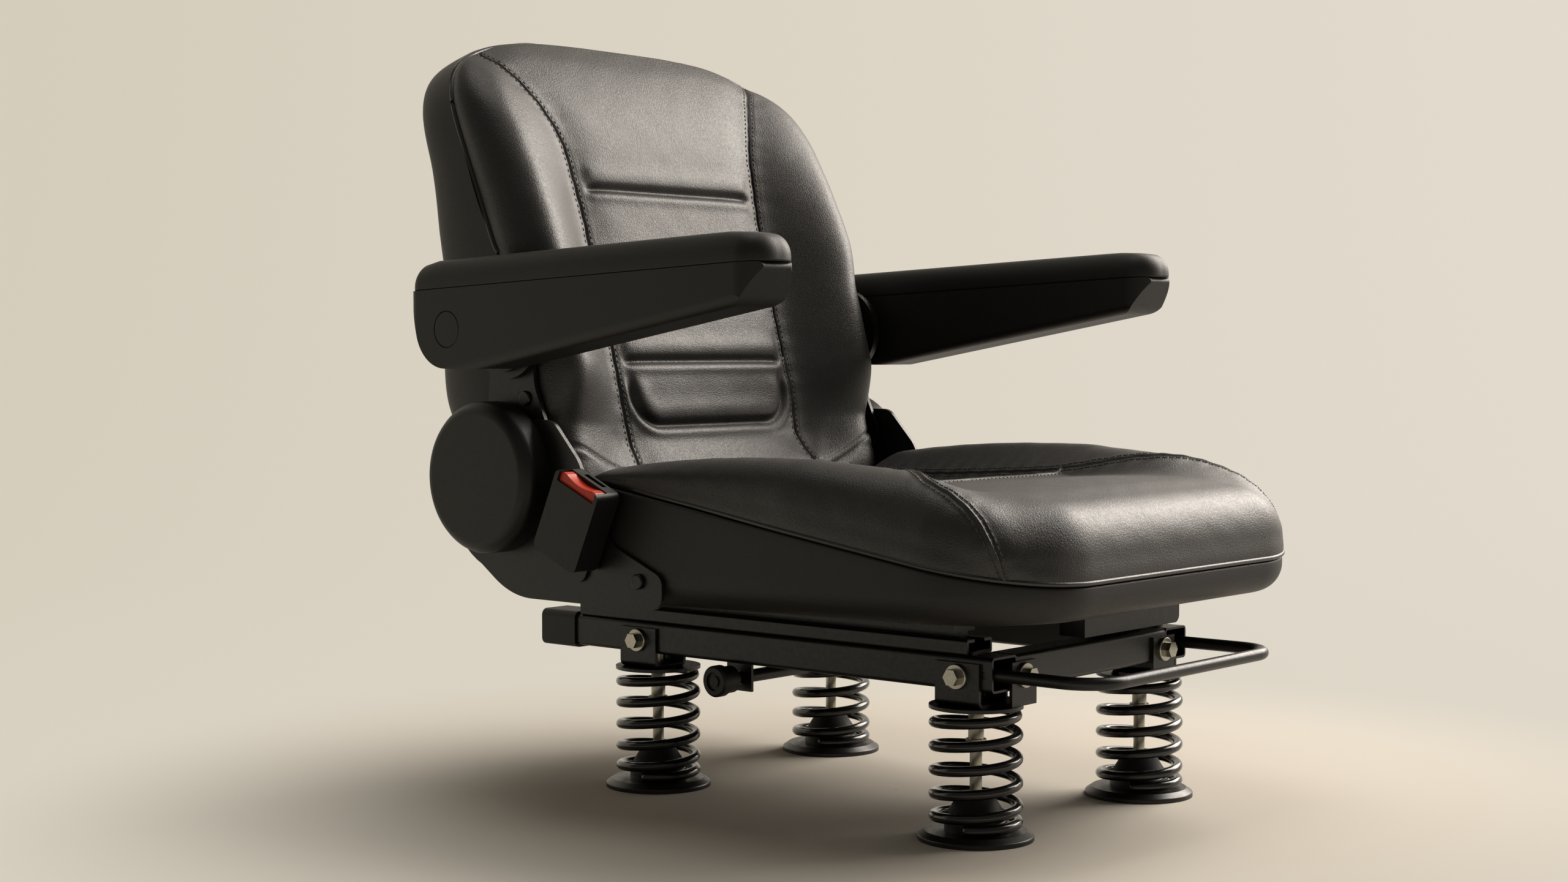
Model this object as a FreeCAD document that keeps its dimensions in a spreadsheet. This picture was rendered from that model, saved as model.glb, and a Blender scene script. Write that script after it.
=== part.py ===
import FreeCAD, Part
import math
import os
import Sketcher

# Ride on mower seat on four coil springs, with sliding base, reclining back,
# hinged armrests, two belt buckles and a release bar.
# Millimetres, +Z up, origin midway between the four feet on the deck.
# The sitter faces -Y, so the sitter's right hand is on -X.

Vector = FreeCAD.Vector

# Driving dimensions
SIZES = {
    # Feet, guide rods and coil springs
    "foot_spacing_x": 260,
    "foot_spacing_y": 375,
    "foot_flange_radius": 50,
    "foot_flange_thickness": 4,
    "foot_seat_height": 8,
    "foot_seat_radius": 44,
    "foot_hub_radius": 27,
    "foot_hub_height": 18,
    "rod_socket_floor": 11,
    "deck_bolt_radius": 4.2,
    "rod_radius": 5.25,
    "rod_top": 118,
    "stop_top_radius": 14,
    "stop_height": 22,
    "spring_outer_radius": 40.5,
    "spring_wire_radius": 4.5,
    "spring_length": 105,
    "spring_turns": 5,
    # Frame of hollow rails and beams
    "frame_width": 310,
    "rail_width": 36,
    "rail_height": 30,
    "rail_wall": 2,
    "rail_corner": 4,
    "rail_front": 222,
    "rail_rear": 317,
    "beam_depth": 30,
    "rear_beam_place": 232,
    "cap_length": 46,
    "cap_wall": 2.5,
    # Spring brackets, sleeves and bolts
    "plate": 3,
    "bracket_drop": 11,
    "bracket_length": 46,
    "ear_rise": 24,
    "front_ear_width": 36,
    "front_ear_inset": 7,
    "sleeve_radius": 6.75,
    "sleeve_drop": 31,
    "clip_radius": 9,
    "clip_thickness": 2,
    "bolt_radius": 4,
    "bolt_head_radius": 7.5,
    "bolt_head_height": 7,
    "washer_radius": 11,
    "washer_thickness": 3,
    # Slide tracks
    "track_base": 3,
    "track_height": 13,
    "track_sheet": 2.5,
    "track_mouth": 14,
    "track_front": 196,
    "track_rear": 268,
    "slider_flange": 24,
    "slider_flange_thickness": 4,
    "slider_neck": 10,
    "slider_top_width": 30,
    "slider_rise": 22,
    "slider_front": 180,
    "slider_rear": 205,
    "notch_width": 9,
    "notch_depth": 2.5,
    "notch_pitch": 20,
    "spacer_length": 46,
    # Release bar
    "bar_radius": 5.5,
    "bar_offset": 8,
    "bar_reach": 100,
    "bar_bend": 36,
    "bar_pivot_inset": 8,
    "bar_pin_radius": 3,
    "latch_inset": 25,
    "latch_width": 6,
    # Adjuster shaft under the rails
    "shaft_radius": 6,
    "shaft_place": 76,
    "shaft_drop": 15.5,
    "hanger_width": 30,
    "knob_radius": 14.5,
    "knob_length": 24,
    # Seat pan and seat cushion
    "seat_half_width": 248,
    "seat_front": 314,
    "seat_front_corner": 105,
    "pan_floor_front": 196,
    "pan_floor_rear": 184,
    "pan_floor_end": 264,
    "pan_tail_inset": 23,
    "pan_tail_rise": 10,
    "pan_back_room": 8,
    "pan_back_z": 268,
    "pan_back_top": 282,
    "pan_side_round": 34,
    "pan_tail_round": 120,
    "pan_wall": 4,
    "stop_right": 55,
    "stop_left": 100,
    "stop_front": 248,
    "stop_depth": 26,
    "stop_low": 170,
    "stop_round": 7,
    "rim_front": 226,
    "rim_slope": 0.1488,
    "crest_height": 300,
    "crest_place": 228,
    "seat_dip": 16,
    "bolster_rise": 18,
    "bolster_width": 100,
    "foam_floor": 16,
    "cover_inset": 2.5,
    # Backrest on its hinge
    "pivot_y": 278,
    "pivot_z": 298,
    "recline": 15.5,
    "roll_radius": 78,
    "roll_gap": 2,
    "roll_trim": 2,
    "hinge_room": 8,
    "hinge_room_top": 160,
    "hinge_room_blend": 60,
    "back_top": 441,
    "back_shoulder": 240,
    "back_edge_round": 40,
    "back_depth_low": 92,
    "back_depth_high": 34,
    "back_panel_depth": 60,
    "back_bolster_depth": 100,
    "back_bolster_crest": 15,
    "back_bolster_width": 108,
    "shell_wall": 4,
    "shell_round": 46,
    "shell_edge_low": 54,
    "shell_edge_high": 14,
    # Hinge plates, covers and arm brackets
    "steel": 4,
    "pin_radius": 8,
    "hinge_plate_front": 66,
    "hinge_plate_nose": 30,
    "hinge_plate_heel": 90,
    "hinge_plate_step": 65,
    "hinge_plate_step_rise": 57,
    "hinge_screw_inset": 28,
    "hinge_screw_rise": 25,
    "hinge_screw_reach": 36,
    "arm_plate_foot": 38,
    "arm_plate_foot_half": 30,
    "arm_plate_head": 20,
    "arm_plate_head_half": 26,
    "arm_plate_waist": 52,
    "arm_plate_front": 64,
    "arm_screw_inset": 19,
    "arm_screw_drop": 64,
    "arm_screw_pitch": 32,
    "cover_radius": 71,
    "cover_depth": 30,
    "cover_wall": 3,
    "cover_round": 9,
    "screw_head_radius": 7,
    "screw_head_height": 4,
    "arm_screw_head": 3,
    # Armrests
    "arm_gap": 17,
    "arm_width": 60,
    "arm_pivot_y": 267,
    "arm_pivot_z": 436,
    "arm_rear": 320,
    "arm_front": 110,
    "arm_seam_rear": 471,
    "arm_seam_front": 490,
    "arm_belly_rear": 400,
    "arm_belly_front": 454,
    "arm_chin": 24,
    "arm_heel": 20,
    "arm_heel_round": 40,
    "arm_knee": 40,
    "arm_edge_round": 9,
    "arm_pad_height": 27,
    "arm_nose_round": 26,
    "hub_radius": 46,
    "cap_radius": 17,
    "cap_depth": 2,
    # Belt buckles
    "buckle_y": 164,
    "buckle_z": 244,
    "buckle_lean": 24,
    "buckle_half_width": 29,
    "buckle_below": 18,
    "buckle_above": 61,
    "buckle_thickness": 28,
    "strap_half_width": 18,
    "strap_below": 38,
    "strap_above": 20,
    "button_half_width": 24.5,
    "button_depth": 15,
    "button_height": 16,
    "button_travel": 5,
    "button_lip": 2.5,
    "button_show": 10,
    "button_dish": 4,
    "tongue_half_width": 13,
    "tongue_gap": 5.5,
    "tongue_depth": 40,
    "rivet_radius": 7,
    # Clearances
    "seat_gap": 0.3,
    "run_gap": 0.5,
}

doc = FreeCAD.newDocument("mower_seat")
sheet = doc.addObject("Spreadsheet::Sheet", "sizes")
for row, (name, number) in enumerate(SIZES.items(), start=1):
    sheet.set(f"A{row}", name)
    sheet.set(f"B{row}", str(number))
    sheet.setAlias(f"B{row}", name)
doc.recompute()


class Dim:
    """A size that keeps its number and its sheet formula together."""

    def __init__(self, value, text):
        self.value = value
        self.text = text

    def join(self, other, sign, value):
        return Dim(value, f"({self.text} {sign} {as_dim(other).text})")

    def __add__(self, other):
        return self.join(other, "+", self.value + as_dim(other).value)

    def __sub__(self, other):
        return self.join(other, "-", self.value - as_dim(other).value)

    def __mul__(self, other):
        return self.join(other, "*", self.value * as_dim(other).value)

    def __truediv__(self, other):
        return self.join(other, "/", self.value / as_dim(other).value)

    def __neg__(self):
        return Dim(-self.value, f"(-{self.text})")


def as_dim(number):
    """A plain number as a Dim."""
    return number if isinstance(number, Dim) else Dim(float(number), repr(float(number)))


def size(name):
    """The named cell of the sheet as a Dim."""
    return Dim(float(sheet.get(name)), f"sizes.{name}")


# Small helpers that make bound objects
nodes = []
serial = {}


def unique(word):
    """An object name that is not in use yet."""
    serial[word] = serial.get(word, 0) + 1
    return f"{word}_{serial[word]}"


def node(label, thing):
    """Mark an object as a sub-part of the seat."""
    thing.Label = label
    nodes.append(thing)
    return thing


def bind(thing, **properties):
    """Bind properties of an object to sheet formulas."""
    for key, dim in properties.items():
        thing.setExpression(key, as_dim(dim).text)


def place(thing, x=0, y=0, z=0, rotation=None):
    """Turn an object and bind its position."""
    here = [as_dim(value) for value in (x, y, z)]
    turn = rotation if rotation else FreeCAD.Rotation()
    thing.Placement = FreeCAD.Placement(Vector(*[d.value for d in here]), turn)
    for axis, dim in zip("xyz", here):
        thing.setExpression(f"Placement.Base.{axis}", dim.text)
    return thing


ALONG = {
    "X": FreeCAD.Rotation(Vector(0, 0, 1), Vector(1, 0, 0)),
    "-X": FreeCAD.Rotation(Vector(0, 0, 1), Vector(-1, 0, 0)),
    "Y": FreeCAD.Rotation(Vector(0, 0, 1), Vector(0, 1, 0)),
    "-Y": FreeCAD.Rotation(Vector(0, 0, 1), Vector(0, -1, 0)),
    "Z": FreeCAD.Rotation(),
}


def block(x, y, z):
    """A box between pairs of coordinates."""
    box = doc.addObject("Part::Box", unique("block"))
    spans = [[as_dim(end) for end in pair] for pair in (x, y, z)]
    low = [pair[0] for pair in spans]
    lengths = [pair[1] - pair[0] for pair in spans]
    bind(box, Length=lengths[0], Width=lengths[1], Height=lengths[2])
    return place(box, *low)


def rod(radius, length, x, y, z, along="Z"):
    """A cylinder from a start point along an axis."""
    cylinder = doc.addObject("Part::Cylinder", unique("rod"))
    bind(cylinder, Radius=radius, Height=length)
    return place(cylinder, x, y, z, ALONG[along])


def fuse(*shapes):
    """The union of several objects."""
    union = doc.addObject("Part::MultiFuse", unique("fuse"))
    union.Shapes = list(shapes)
    union.Refine = True
    return union


def cut(base, *tools):
    """An object with others taken away from it."""
    result = doc.addObject("Part::Cut", unique("cut"))
    result.Base = base
    result.Tool = tools[0] if len(tools) == 1 else fuse(*tools)
    return result


def common(*shapes):
    """The space that several objects share."""
    shared = doc.addObject("Part::MultiCommon", unique("common"))
    shared.Shapes = list(shapes)
    return shared


def group(*shapes):
    """Several loose solids kept together."""
    compound = doc.addObject("Part::Compound", unique("group"))
    compound.Links = list(shapes)
    return compound


def mirrored(thing):
    """The same object on the other side of the seat."""
    mirror = doc.addObject("Part::Mirroring", unique("mirror"))
    mirror.Source = thing
    mirror.Normal = Vector(1, 0, 0)
    return mirror


def pair(label, right):
    """A right-hand sub-part and its mirrored left-hand one."""
    node(f"{label}_right", right)
    node(f"{label}_left", mirrored(right))


def draw_outline(sketch, corners):
    """Draw a closed outline of (x, y) or (x, y, radius) corners and bind every corner."""
    count = len(corners)
    spots = [Vector(as_dim(c[0]).value, as_dim(c[1]).value, 0) for c in corners]
    rounds = [as_dim(c[2]) if len(c) > 2 else None for c in corners]
    enters, leaves, arcs = [], [], {}
    for i, here in enumerate(spots):
        back = (spots[i - 1] - here).normalize()
        ahead = (spots[(i + 1) % count] - here).normalize()
        if rounds[i] is None:
            enters.append(here)
            leaves.append(here)
            continue
        half = back.getAngle(ahead) / 2
        reach = rounds[i].value / math.tan(half)
        enters.append(here + back * reach)
        leaves.append(here + ahead * reach)
        middle = here + (back + ahead).normalize() * (rounds[i].value / math.sin(half))
        left_turn = back.cross(ahead).z < 0
        ends = (enters[i], leaves[i]) if left_turn else (leaves[i], enters[i])
        angles = [math.atan2((p - middle).y, (p - middle).x) for p in ends]
        circle = Part.Circle(middle, Vector(0, 0, 1), rounds[i].value)
        arcs[i] = (Part.ArcOfCircle(circle, angles[0], angles[1]), left_turn)
    sides = [
        sketch.addGeometry(Part.LineSegment(leaves[i], enters[(i + 1) % count]))
        for i in range(count)
    ]
    for i, spot in enumerate(spots):
        before, after = sides[i - 1], sides[i]
        if i in arcs:
            curve, left_turn = arcs[i]
            arc = sketch.addGeometry(curve)
            enter, leave = (1, 2) if left_turn else (2, 1)
            sketch.addConstraint(Sketcher.Constraint("Tangent", before, 2, arc, enter))
            sketch.addConstraint(Sketcher.Constraint("Tangent", arc, leave, after, 1))
            limit = Sketcher.Constraint("Radius", arc, rounds[i].value)
            sketch.setExpression(f"Constraints[{sketch.addConstraint(limit)}]", rounds[i].text)
            anchor = sketch.addGeometry(Part.Point(spot), True)
            sketch.addConstraint(Sketcher.Constraint("PointOnObject", anchor, 1, before))
            sketch.addConstraint(Sketcher.Constraint("PointOnObject", anchor, 1, after))
        else:
            anchor = after
            sketch.addConstraint(Sketcher.Constraint("Coincident", before, 2, after, 1))
        for kind, dim in zip(("DistanceX", "DistanceY"), corners[i]):
            bound = as_dim(dim)
            index = sketch.addConstraint(
                Sketcher.Constraint(kind, -1, 1, anchor, 1, bound.value)
            )
            sketch.setExpression(f"Constraints[{index}]", bound.text)


def sketched(word, plane, outlines):
    """A new body with a bound sketch of outlines on one of its origin planes."""
    body = doc.addObject("PartDesign::Body", unique(word))
    sketch = body.newObject("Sketcher::SketchObject", unique(f"{word}_sketch"))
    support = [f for f in body.Origin.OriginFeatures if f.Role == plane]
    sketch.AttachmentSupport = [(support[0], "")]
    sketch.MapMode = "FlatFace"
    for corners in outlines:
        draw_outline(sketch, corners)
    return body, sketch


def pad(word, plane, outlines, start, length):
    """Sketched outlines raised along the plane's axis, from start towards plus."""
    body, sketch = sketched(word, plane, outlines)
    feature = body.newObject("PartDesign::Pad", unique(f"{word}_pad"))
    feature.Profile = sketch
    bind(feature, Length=length)
    feature.Reversed = plane == "XZ_Plane"
    offset = {"YZ_Plane": "x", "XZ_Plane": "y", "XY_Plane": "z"}[plane]
    return place(body, **{offset: start})


def turned(word, outline, x, y, z, along="Z"):
    """An outline of (radius, height) corners revolved about its own height axis."""
    body, sketch = sketched(word, "XZ_Plane", [outline])
    feature = body.newObject("PartDesign::Revolution", unique(f"{word}_turn"))
    feature.Profile = sketch
    feature.ReferenceAxis = (sketch, ["V_Axis"])
    feature.Angle = 360
    return place(body, x, y, z, ALONG[along])


# Levels and places that several sub-parts share
foot_x = size("foot_spacing_x") / 2
foot_y = size("foot_spacing_y") / 2
seat_gap = size("seat_gap")
run_gap = size("run_gap")
plate = size("plate")
spring_seat = size("foot_seat_height")
spring_top = spring_seat + size("spring_length")
bracket_floor = spring_top + plate
rail_low = bracket_floor + plate + size("bracket_drop")
rail_high = rail_low + size("rail_height")
rail_middle_z = rail_low + size("rail_height") / 2
rail_outer = size("frame_width") / 2
rail_inner = rail_outer - size("rail_width")
rail_axis = rail_outer - size("rail_width") / 2
wall = size("rail_wall")
front_face = -size("rail_front")
bolt_z = rail_low + 12
CORNERS = {
    "front_right": (-foot_x, -foot_y),
    "front_left": (foot_x, -foot_y),
    "rear_right": (-foot_x, foot_y),
    "rear_left": (foot_x, foot_y),
}


def make_feet():
    """Flanged feet, guide rods, rubber bump stops and coil springs at the four corners."""
    hub = size("foot_hub_height")
    socket = size("rod_radius")
    bolt = size("deck_bolt_radius")
    floor = size("rod_socket_floor")
    flange = size("foot_flange_radius")
    lift = size("foot_flange_thickness")
    rods, stops = [], []
    for corner, (x, y) in CORNERS.items():
        foot = [
            (bolt, 0), (flange, 0), (flange, lift, 1.5), (size("foot_seat_radius"), spring_seat),
            (size("foot_hub_radius"), spring_seat), (size("foot_hub_radius"), hub, 3),
            (socket, hub), (socket, floor), (bolt, floor),
        ]
        node(f"foot_{corner}", turned("foot", foot, x, y, 0))
        rods.append(rod(socket, size("rod_top") - floor, x, y, floor))
        bore = socket + seat_gap
        stop_top = hub + size("stop_height")
        stop = [
            (bore, hub), (size("foot_hub_radius") - 2, hub), (size("foot_hub_radius") - 3, hub + 6, 2),
            (size("stop_top_radius"), stop_top, 3), (bore, stop_top),
        ]
        stops.append(turned("stop", stop, x, y, 0))
    node("guide_rods", group(*rods))
    node("bump_stops", group(*stops))


def make_springs():
    """Coil springs of round wire, standing between the feet and the brackets."""
    wire = size("spring_wire_radius")
    mean = size("spring_outer_radius") - wire
    coil_height = size("spring_length") - wire * 2 - seat_gap * 2
    for corner, (x, y) in CORNERS.items():
        helix = doc.addObject("Part::Helix", unique("coil"))
        bind(helix, Radius=mean, Height=coil_height, Pitch=coil_height / size("spring_turns"))
        helix.SegmentLength = 1
        section = doc.addObject("Part::Circle", unique("wire"))
        bind(section, Radius=wire)
        place(section, mean, 0, 0, FreeCAD.Rotation(Vector(1, 0, 0), 90))
        sweep = doc.addObject("Part::Sweep", unique("spring"))
        sweep.Sections = [section]
        sweep.Spine = helix
        sweep.Solid = True
        sweep.Frenet = True
        place(sweep, x, y, spring_seat + wire + seat_gap)
        node(f"spring_{corner}", sweep)


def make_rails():
    """Hollow side rails with their cross beams and rear end caps."""
    corner = size("rail_corner")
    outer = [
        (-rail_outer, rail_low, corner), (-rail_inner, rail_low, corner),
        (-rail_inner, rail_high, corner), (-rail_outer, rail_high, corner),
    ]
    inner = [
        (-rail_outer + wall, rail_low + wall, corner - wall),
        (-rail_inner - wall, rail_low + wall, corner - wall),
        (-rail_inner - wall, rail_high - wall, corner - wall),
        (-rail_outer + wall, rail_high - wall, corner - wall),
    ]
    length = size("rail_front") + size("rail_rear")
    tube = pad("rail", "XZ_Plane", [outer, inner], front_face, length)
    openings = []
    for x, y in (CORNERS["front_right"], CORNERS["rear_right"]):
        openings.append(rod(size("sleeve_radius"), wall * 2, x, y, rail_low - wall / 2))
        openings.append(rod(size("bolt_radius"), wall * 3, -rail_outer - wall, y, bolt_z, "X"))
    bar_x = -rail_outer + size("bar_offset")
    pivot_y = front_face + size("bar_pivot_inset")
    openings.append(
        rod(size("bar_pin_radius") + seat_gap, size("rail_width") + wall * 2, -rail_outer - wall,
            pivot_y, rail_middle_z, "X")
    )
    latch_half = size("latch_width") / 2 + run_gap * 2
    latch_y = front_face + size("latch_inset")
    openings.append(
        block((bar_x - latch_half, bar_x + latch_half), (latch_y - 6, latch_y + 10),
              (rail_high - wall * 2, rail_high + wall))
    )
    pair("side_rail", cut(tube, *openings))
    for label, face in (("front_beam", front_face), ("rear_beam", size("rear_beam_place"))):
        depth = size("beam_depth")
        shell = [
            (face, rail_low, corner), (face + depth, rail_low, corner),
            (face + depth, rail_high, corner), (face, rail_high, corner),
        ]
        hollow = [
            (face + wall, rail_low + wall, corner - wall),
            (face + depth - wall, rail_low + wall, corner - wall),
            (face + depth - wall, rail_high - wall, corner - wall),
            (face + wall, rail_high - wall, corner - wall),
        ]
        beam = pad("beam", "YZ_Plane", [shell, hollow], -rail_inner, rail_inner * 2)
        if label == "front_beam":
            ear_x = rail_inner - size("front_ear_inset")
            holes = [
                rod(size("bolt_radius"), wall * 3, side, face - wall, bolt_z, "Y")
                for side in (-ear_x, ear_x)
            ]
            beam = cut(beam, *holes)
        node(label, beam)
    cap = size("cap_wall")
    rear = size("rail_rear") + cap
    sleeve = [
        (-rail_outer - cap, rail_low - cap, corner + cap), (-rail_inner + cap, rail_low - cap, corner + cap),
        (-rail_inner + cap, rail_high + cap, corner + cap),
        (-rail_outer - cap, rail_high + cap, corner + cap),
    ]
    body = pad("cap", "XZ_Plane", [sleeve], rear - size("cap_length"), size("cap_length"))
    grip = pad("cap_room", "XZ_Plane", [outer], rear - size("cap_length") - cap, size("cap_length"))
    cap_right = cut(body, grip)
    node("rail_end_caps", group(cap_right, mirrored(cap_right)))


def hexagon(plane, across, up, start, length):
    """Six-sided bolt head raised from a plane."""
    reach = size("bolt_head_radius")
    turns = [math.radians(60 * step) for step in range(6)]
    corners = [(across + reach * math.cos(a), up + reach * math.sin(a)) for a in turns]
    return pad("hexagon", plane, [corners], start, length)


def make_brackets():
    """Folded steel brackets that hold the springs under the rails, with sleeves and bolts."""
    bore = size("sleeve_radius")
    half = size("bracket_length") / 2
    ear_top = rail_low + size("ear_rise")
    outer = -rail_outer - plate
    inner = -rail_inner + plate
    fold = [
        (outer, bracket_floor, plate * 2), (inner, bracket_floor, plate * 2), (inner, rail_low),
        (inner - plate, rail_low), (inner - plate, bracket_floor + plate, plate),
        (outer + plate, bracket_floor + plate, plate), (outer + plate, ear_top), (outer, ear_top),
    ]
    bolts, sleeves = [], []
    head = size("bolt_head_height")
    washer = size("washer_thickness")
    reach = plate + wall + washer + 6
    ear_x = rail_inner - size("front_ear_inset")
    for end, y in (("front", -foot_y), ("rear", foot_y)):
        channel = pad("bracket", "XZ_Plane", [fold], y - half, half * 2)
        seat = rod(size("spring_outer_radius"), plate, -foot_x, y, spring_top)
        pieces = [channel, seat]
        if end == "front":
            ear_half = size("front_ear_width") / 2
            pieces.append(
                block((-ear_x - ear_half, -ear_x + ear_half), (front_face - plate, front_face),
                      (bracket_floor, ear_top))
            )
            pieces.append(
                block((-ear_x - ear_half, -ear_x + ear_half), (front_face - plate, y),
                      (bracket_floor, bracket_floor + plate))
            )
        holes = [
            rod(bore, plate * 4, -foot_x, y, spring_top - plate),
            rod(size("bolt_radius"), plate * 3, outer - plate, y, bolt_z, "X"),
        ]
        if end == "front":
            holes.append(rod(size("bolt_radius"), plate * 3, -ear_x, front_face - plate * 2, bolt_z, "Y"))
        bracket = cut(fuse(*pieces), *holes)
        pair(f"spring_bracket_{end}", bracket)
    for x, y in CORNERS.values():
        low = spring_top - size("sleeve_drop")
        high = rail_low + wall
        slide = size("rod_radius") + seat_gap
        clip = size("clip_thickness")
        sleeve = [
            (slide, low), (bore, low), (bore, low + clip), (size("clip_radius"), low + clip),
            (size("clip_radius"), low + clip * 2), (bore, low + clip * 2), (bore, high), (slide, high),
        ]
        sleeves.append(turned("sleeve", sleeve, x, y, 0))
    node("guide_sleeves", group(*sleeves))
    shank = [
        (0, head), (size("washer_radius"), head, 1), (size("washer_radius"), head + washer),
        (size("bolt_radius"), head + washer), (size("bolt_radius"), head + reach), (0, head + reach),
    ]
    out = -rail_outer - plate - washer - head
    for y in (-foot_y, foot_y):
        body = turned("bolt", shank, out, y, bolt_z, "X")
        bolt = fuse(body, hexagon("YZ_Plane", y, bolt_z, out, head))
        bolts += [bolt, mirrored(bolt)]
    out = front_face - plate - washer - head
    body = turned("bolt", shank, -ear_x, out, bolt_z, "Y")
    bolt = fuse(body, hexagon("XZ_Plane", -ear_x, bolt_z, out, head))
    bolts += [bolt, mirrored(bolt)]
    node("bracket_bolts", group(*bolts))


def make_tracks():
    """Folded lower tracks on the rails and notched upper sliders that run in them."""
    low = rail_high
    sheet_thick = size("track_sheet")
    half = size("rail_width") / 2
    base = size("track_base")
    high = low + size("track_height")
    mouth = size("track_mouth") / 2
    axis = -rail_axis
    lower = [
        (axis - half, low, 2), (axis + half, low, 2), (axis + half, high, 2), (axis + mouth, high),
        (axis + mouth, high - sheet_thick), (axis + half - sheet_thick, high - sheet_thick),
        (axis + half - sheet_thick, low + base), (axis - half + sheet_thick, low + base),
        (axis - half + sheet_thick, high - sheet_thick), (axis - mouth, high - sheet_thick),
        (axis - mouth, high), (axis - half, high, 2),
    ]
    track = pad("track", "XZ_Plane", [lower], -size("track_front"), size("track_front") + size("track_rear"))
    bar_x = -rail_outer + size("bar_offset")
    latch_half = size("latch_width") / 2 + run_gap * 2
    latch_y = front_face + size("latch_inset")
    across = (bar_x - latch_half, bar_x + latch_half)
    slot = block(across, (latch_y - 6, latch_y + 10), (low - base, low + base * 2))
    pair("lower_track", cut(track, slot))
    flange = size("slider_flange") / 2
    neck = size("slider_neck") / 2
    cap = size("slider_top_width") / 2
    foot = low + base + run_gap
    lift = size("slider_flange_thickness")
    top = low + size("slider_rise")
    runner = [
        (axis - flange, foot), (axis + flange, foot),
        (axis + flange, foot + lift), (axis + neck, foot + lift),
        (axis + neck, top - lift), (axis + cap, top - lift), (axis + cap, top), (axis - cap, top),
        (axis - cap, top - lift), (axis - neck, top - lift),
        (axis - neck, foot + lift), (axis - flange, foot + lift),
    ]
    slider_run = size("slider_front") + size("slider_rear")
    slider = pad("slider", "XZ_Plane", [runner], -size("slider_front"), slider_run)
    notches = []
    for step in range(7):
        middle = latch_y + size("notch_pitch") * (step + 1)
        notch_half = size("notch_width") / 2
        notches.append(
            block((axis - flange * 2, axis - neck), (middle - notch_half, middle + notch_half),
                  (foot - lift, foot + size("notch_depth")))
        )
    pair("upper_track", cut(slider, *notches))
    spacers = []
    for start in (-size("slider_front"), size("slider_rear") - size("spacer_length")):
        stop = start + size("spacer_length")
        wedge = [
            (start, top), (stop, top), (stop, pan_floor(stop) - seat_gap / 2),
            (start, pan_floor(start) - seat_gap / 2),
        ]
        right = pad("spacer", "YZ_Plane", [wedge], axis - cap, cap * 2)
        spacers += [right, mirrored(right)]
    node("track_spacers", group(*spacers))


def pan_floor(y):
    """Height of the pan's sloping underside at a place along the seat."""
    run = size("seat_front") + size("pan_floor_end")
    rise = size("pan_floor_rear") - size("pan_floor_front")
    return size("pan_floor_front") + (as_dim(y) + size("seat_front")) * rise / run


def rim(y):
    """Height of the pan's rising rim at a place along the seat."""
    return size("rim_front") + (as_dim(y) + size("seat_front")) * size("rim_slope")


def make_bar():
    """Bent release bar with its cross pins and latch teeth inside the rail ends."""
    bar_x = rail_outer - size("bar_offset")
    pivot_y = front_face + size("bar_pivot_inset")
    front = front_face - size("bar_reach")
    latch_y = front_face + size("latch_inset")
    radius = size("bar_radius")
    heel = latch_y + size("latch_width") / 2
    spots = [
        (-bar_x, heel), (-bar_x, front, size("bar_bend")), (bar_x, front, size("bar_bend")), (bar_x, heel),
    ]
    body = doc.addObject("PartDesign::Body", unique("bar"))
    path = body.newObject("Sketcher::SketchObject", "bar_path")
    level = [f for f in body.Origin.OriginFeatures if f.Role == "XY_Plane"]
    path.AttachmentSupport = [(level[0], "")]
    path.MapMode = "FlatFace"
    draw_path(path, spots)
    ring = body.newObject("Sketcher::SketchObject", "bar_ring")
    upright = [f for f in body.Origin.OriginFeatures if f.Role == "XZ_Plane"]
    ring.AttachmentSupport = [(upright[0], "")]
    ring.MapMode = "FlatFace"
    ring.setExpression("AttachmentOffset.Base.z", (-heel).text)
    circle = ring.addGeometry(Part.Circle(Vector(-bar_x.value, 0, 0), Vector(0, 0, 1), radius.value))
    for kind, dim in (("DistanceX", -bar_x), ("DistanceY", as_dim(0))):
        index = ring.addConstraint(Sketcher.Constraint(kind, -1, 1, circle, 3, dim.value))
        ring.setExpression(f"Constraints[{index}]", dim.text)
    index = ring.addConstraint(Sketcher.Constraint("Radius", circle, radius.value))
    ring.setExpression(f"Constraints[{index}]", radius.text)
    pipe = body.newObject("PartDesign::AdditivePipe", "bar_pipe")
    pipe.Profile = ring
    pipe.Spine = path
    place(body, 0, 0, rail_middle_z)
    pieces = [body]
    tooth_top = rail_high + size("track_base") + run_gap - seat_gap
    half = size("latch_width") / 2
    for side in (-1, 1):
        middle = bar_x * side
        pin_start = middle - (size("rail_width") - size("bar_offset")) + seat_gap * 2
        if side < 0:
            pin_start = middle - size("bar_offset") + seat_gap * 2
        pin_run = size("rail_width") - seat_gap * 4
        pieces.append(rod(size("bar_pin_radius"), pin_run, pin_start, pivot_y, rail_middle_z, "X"))
        tooth = ((middle - half, middle + half), (latch_y - half, latch_y + half), (rail_middle_z, tooth_top))
        pieces.append(block(*tooth))
    node("release_bar", fuse(*pieces))


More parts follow.
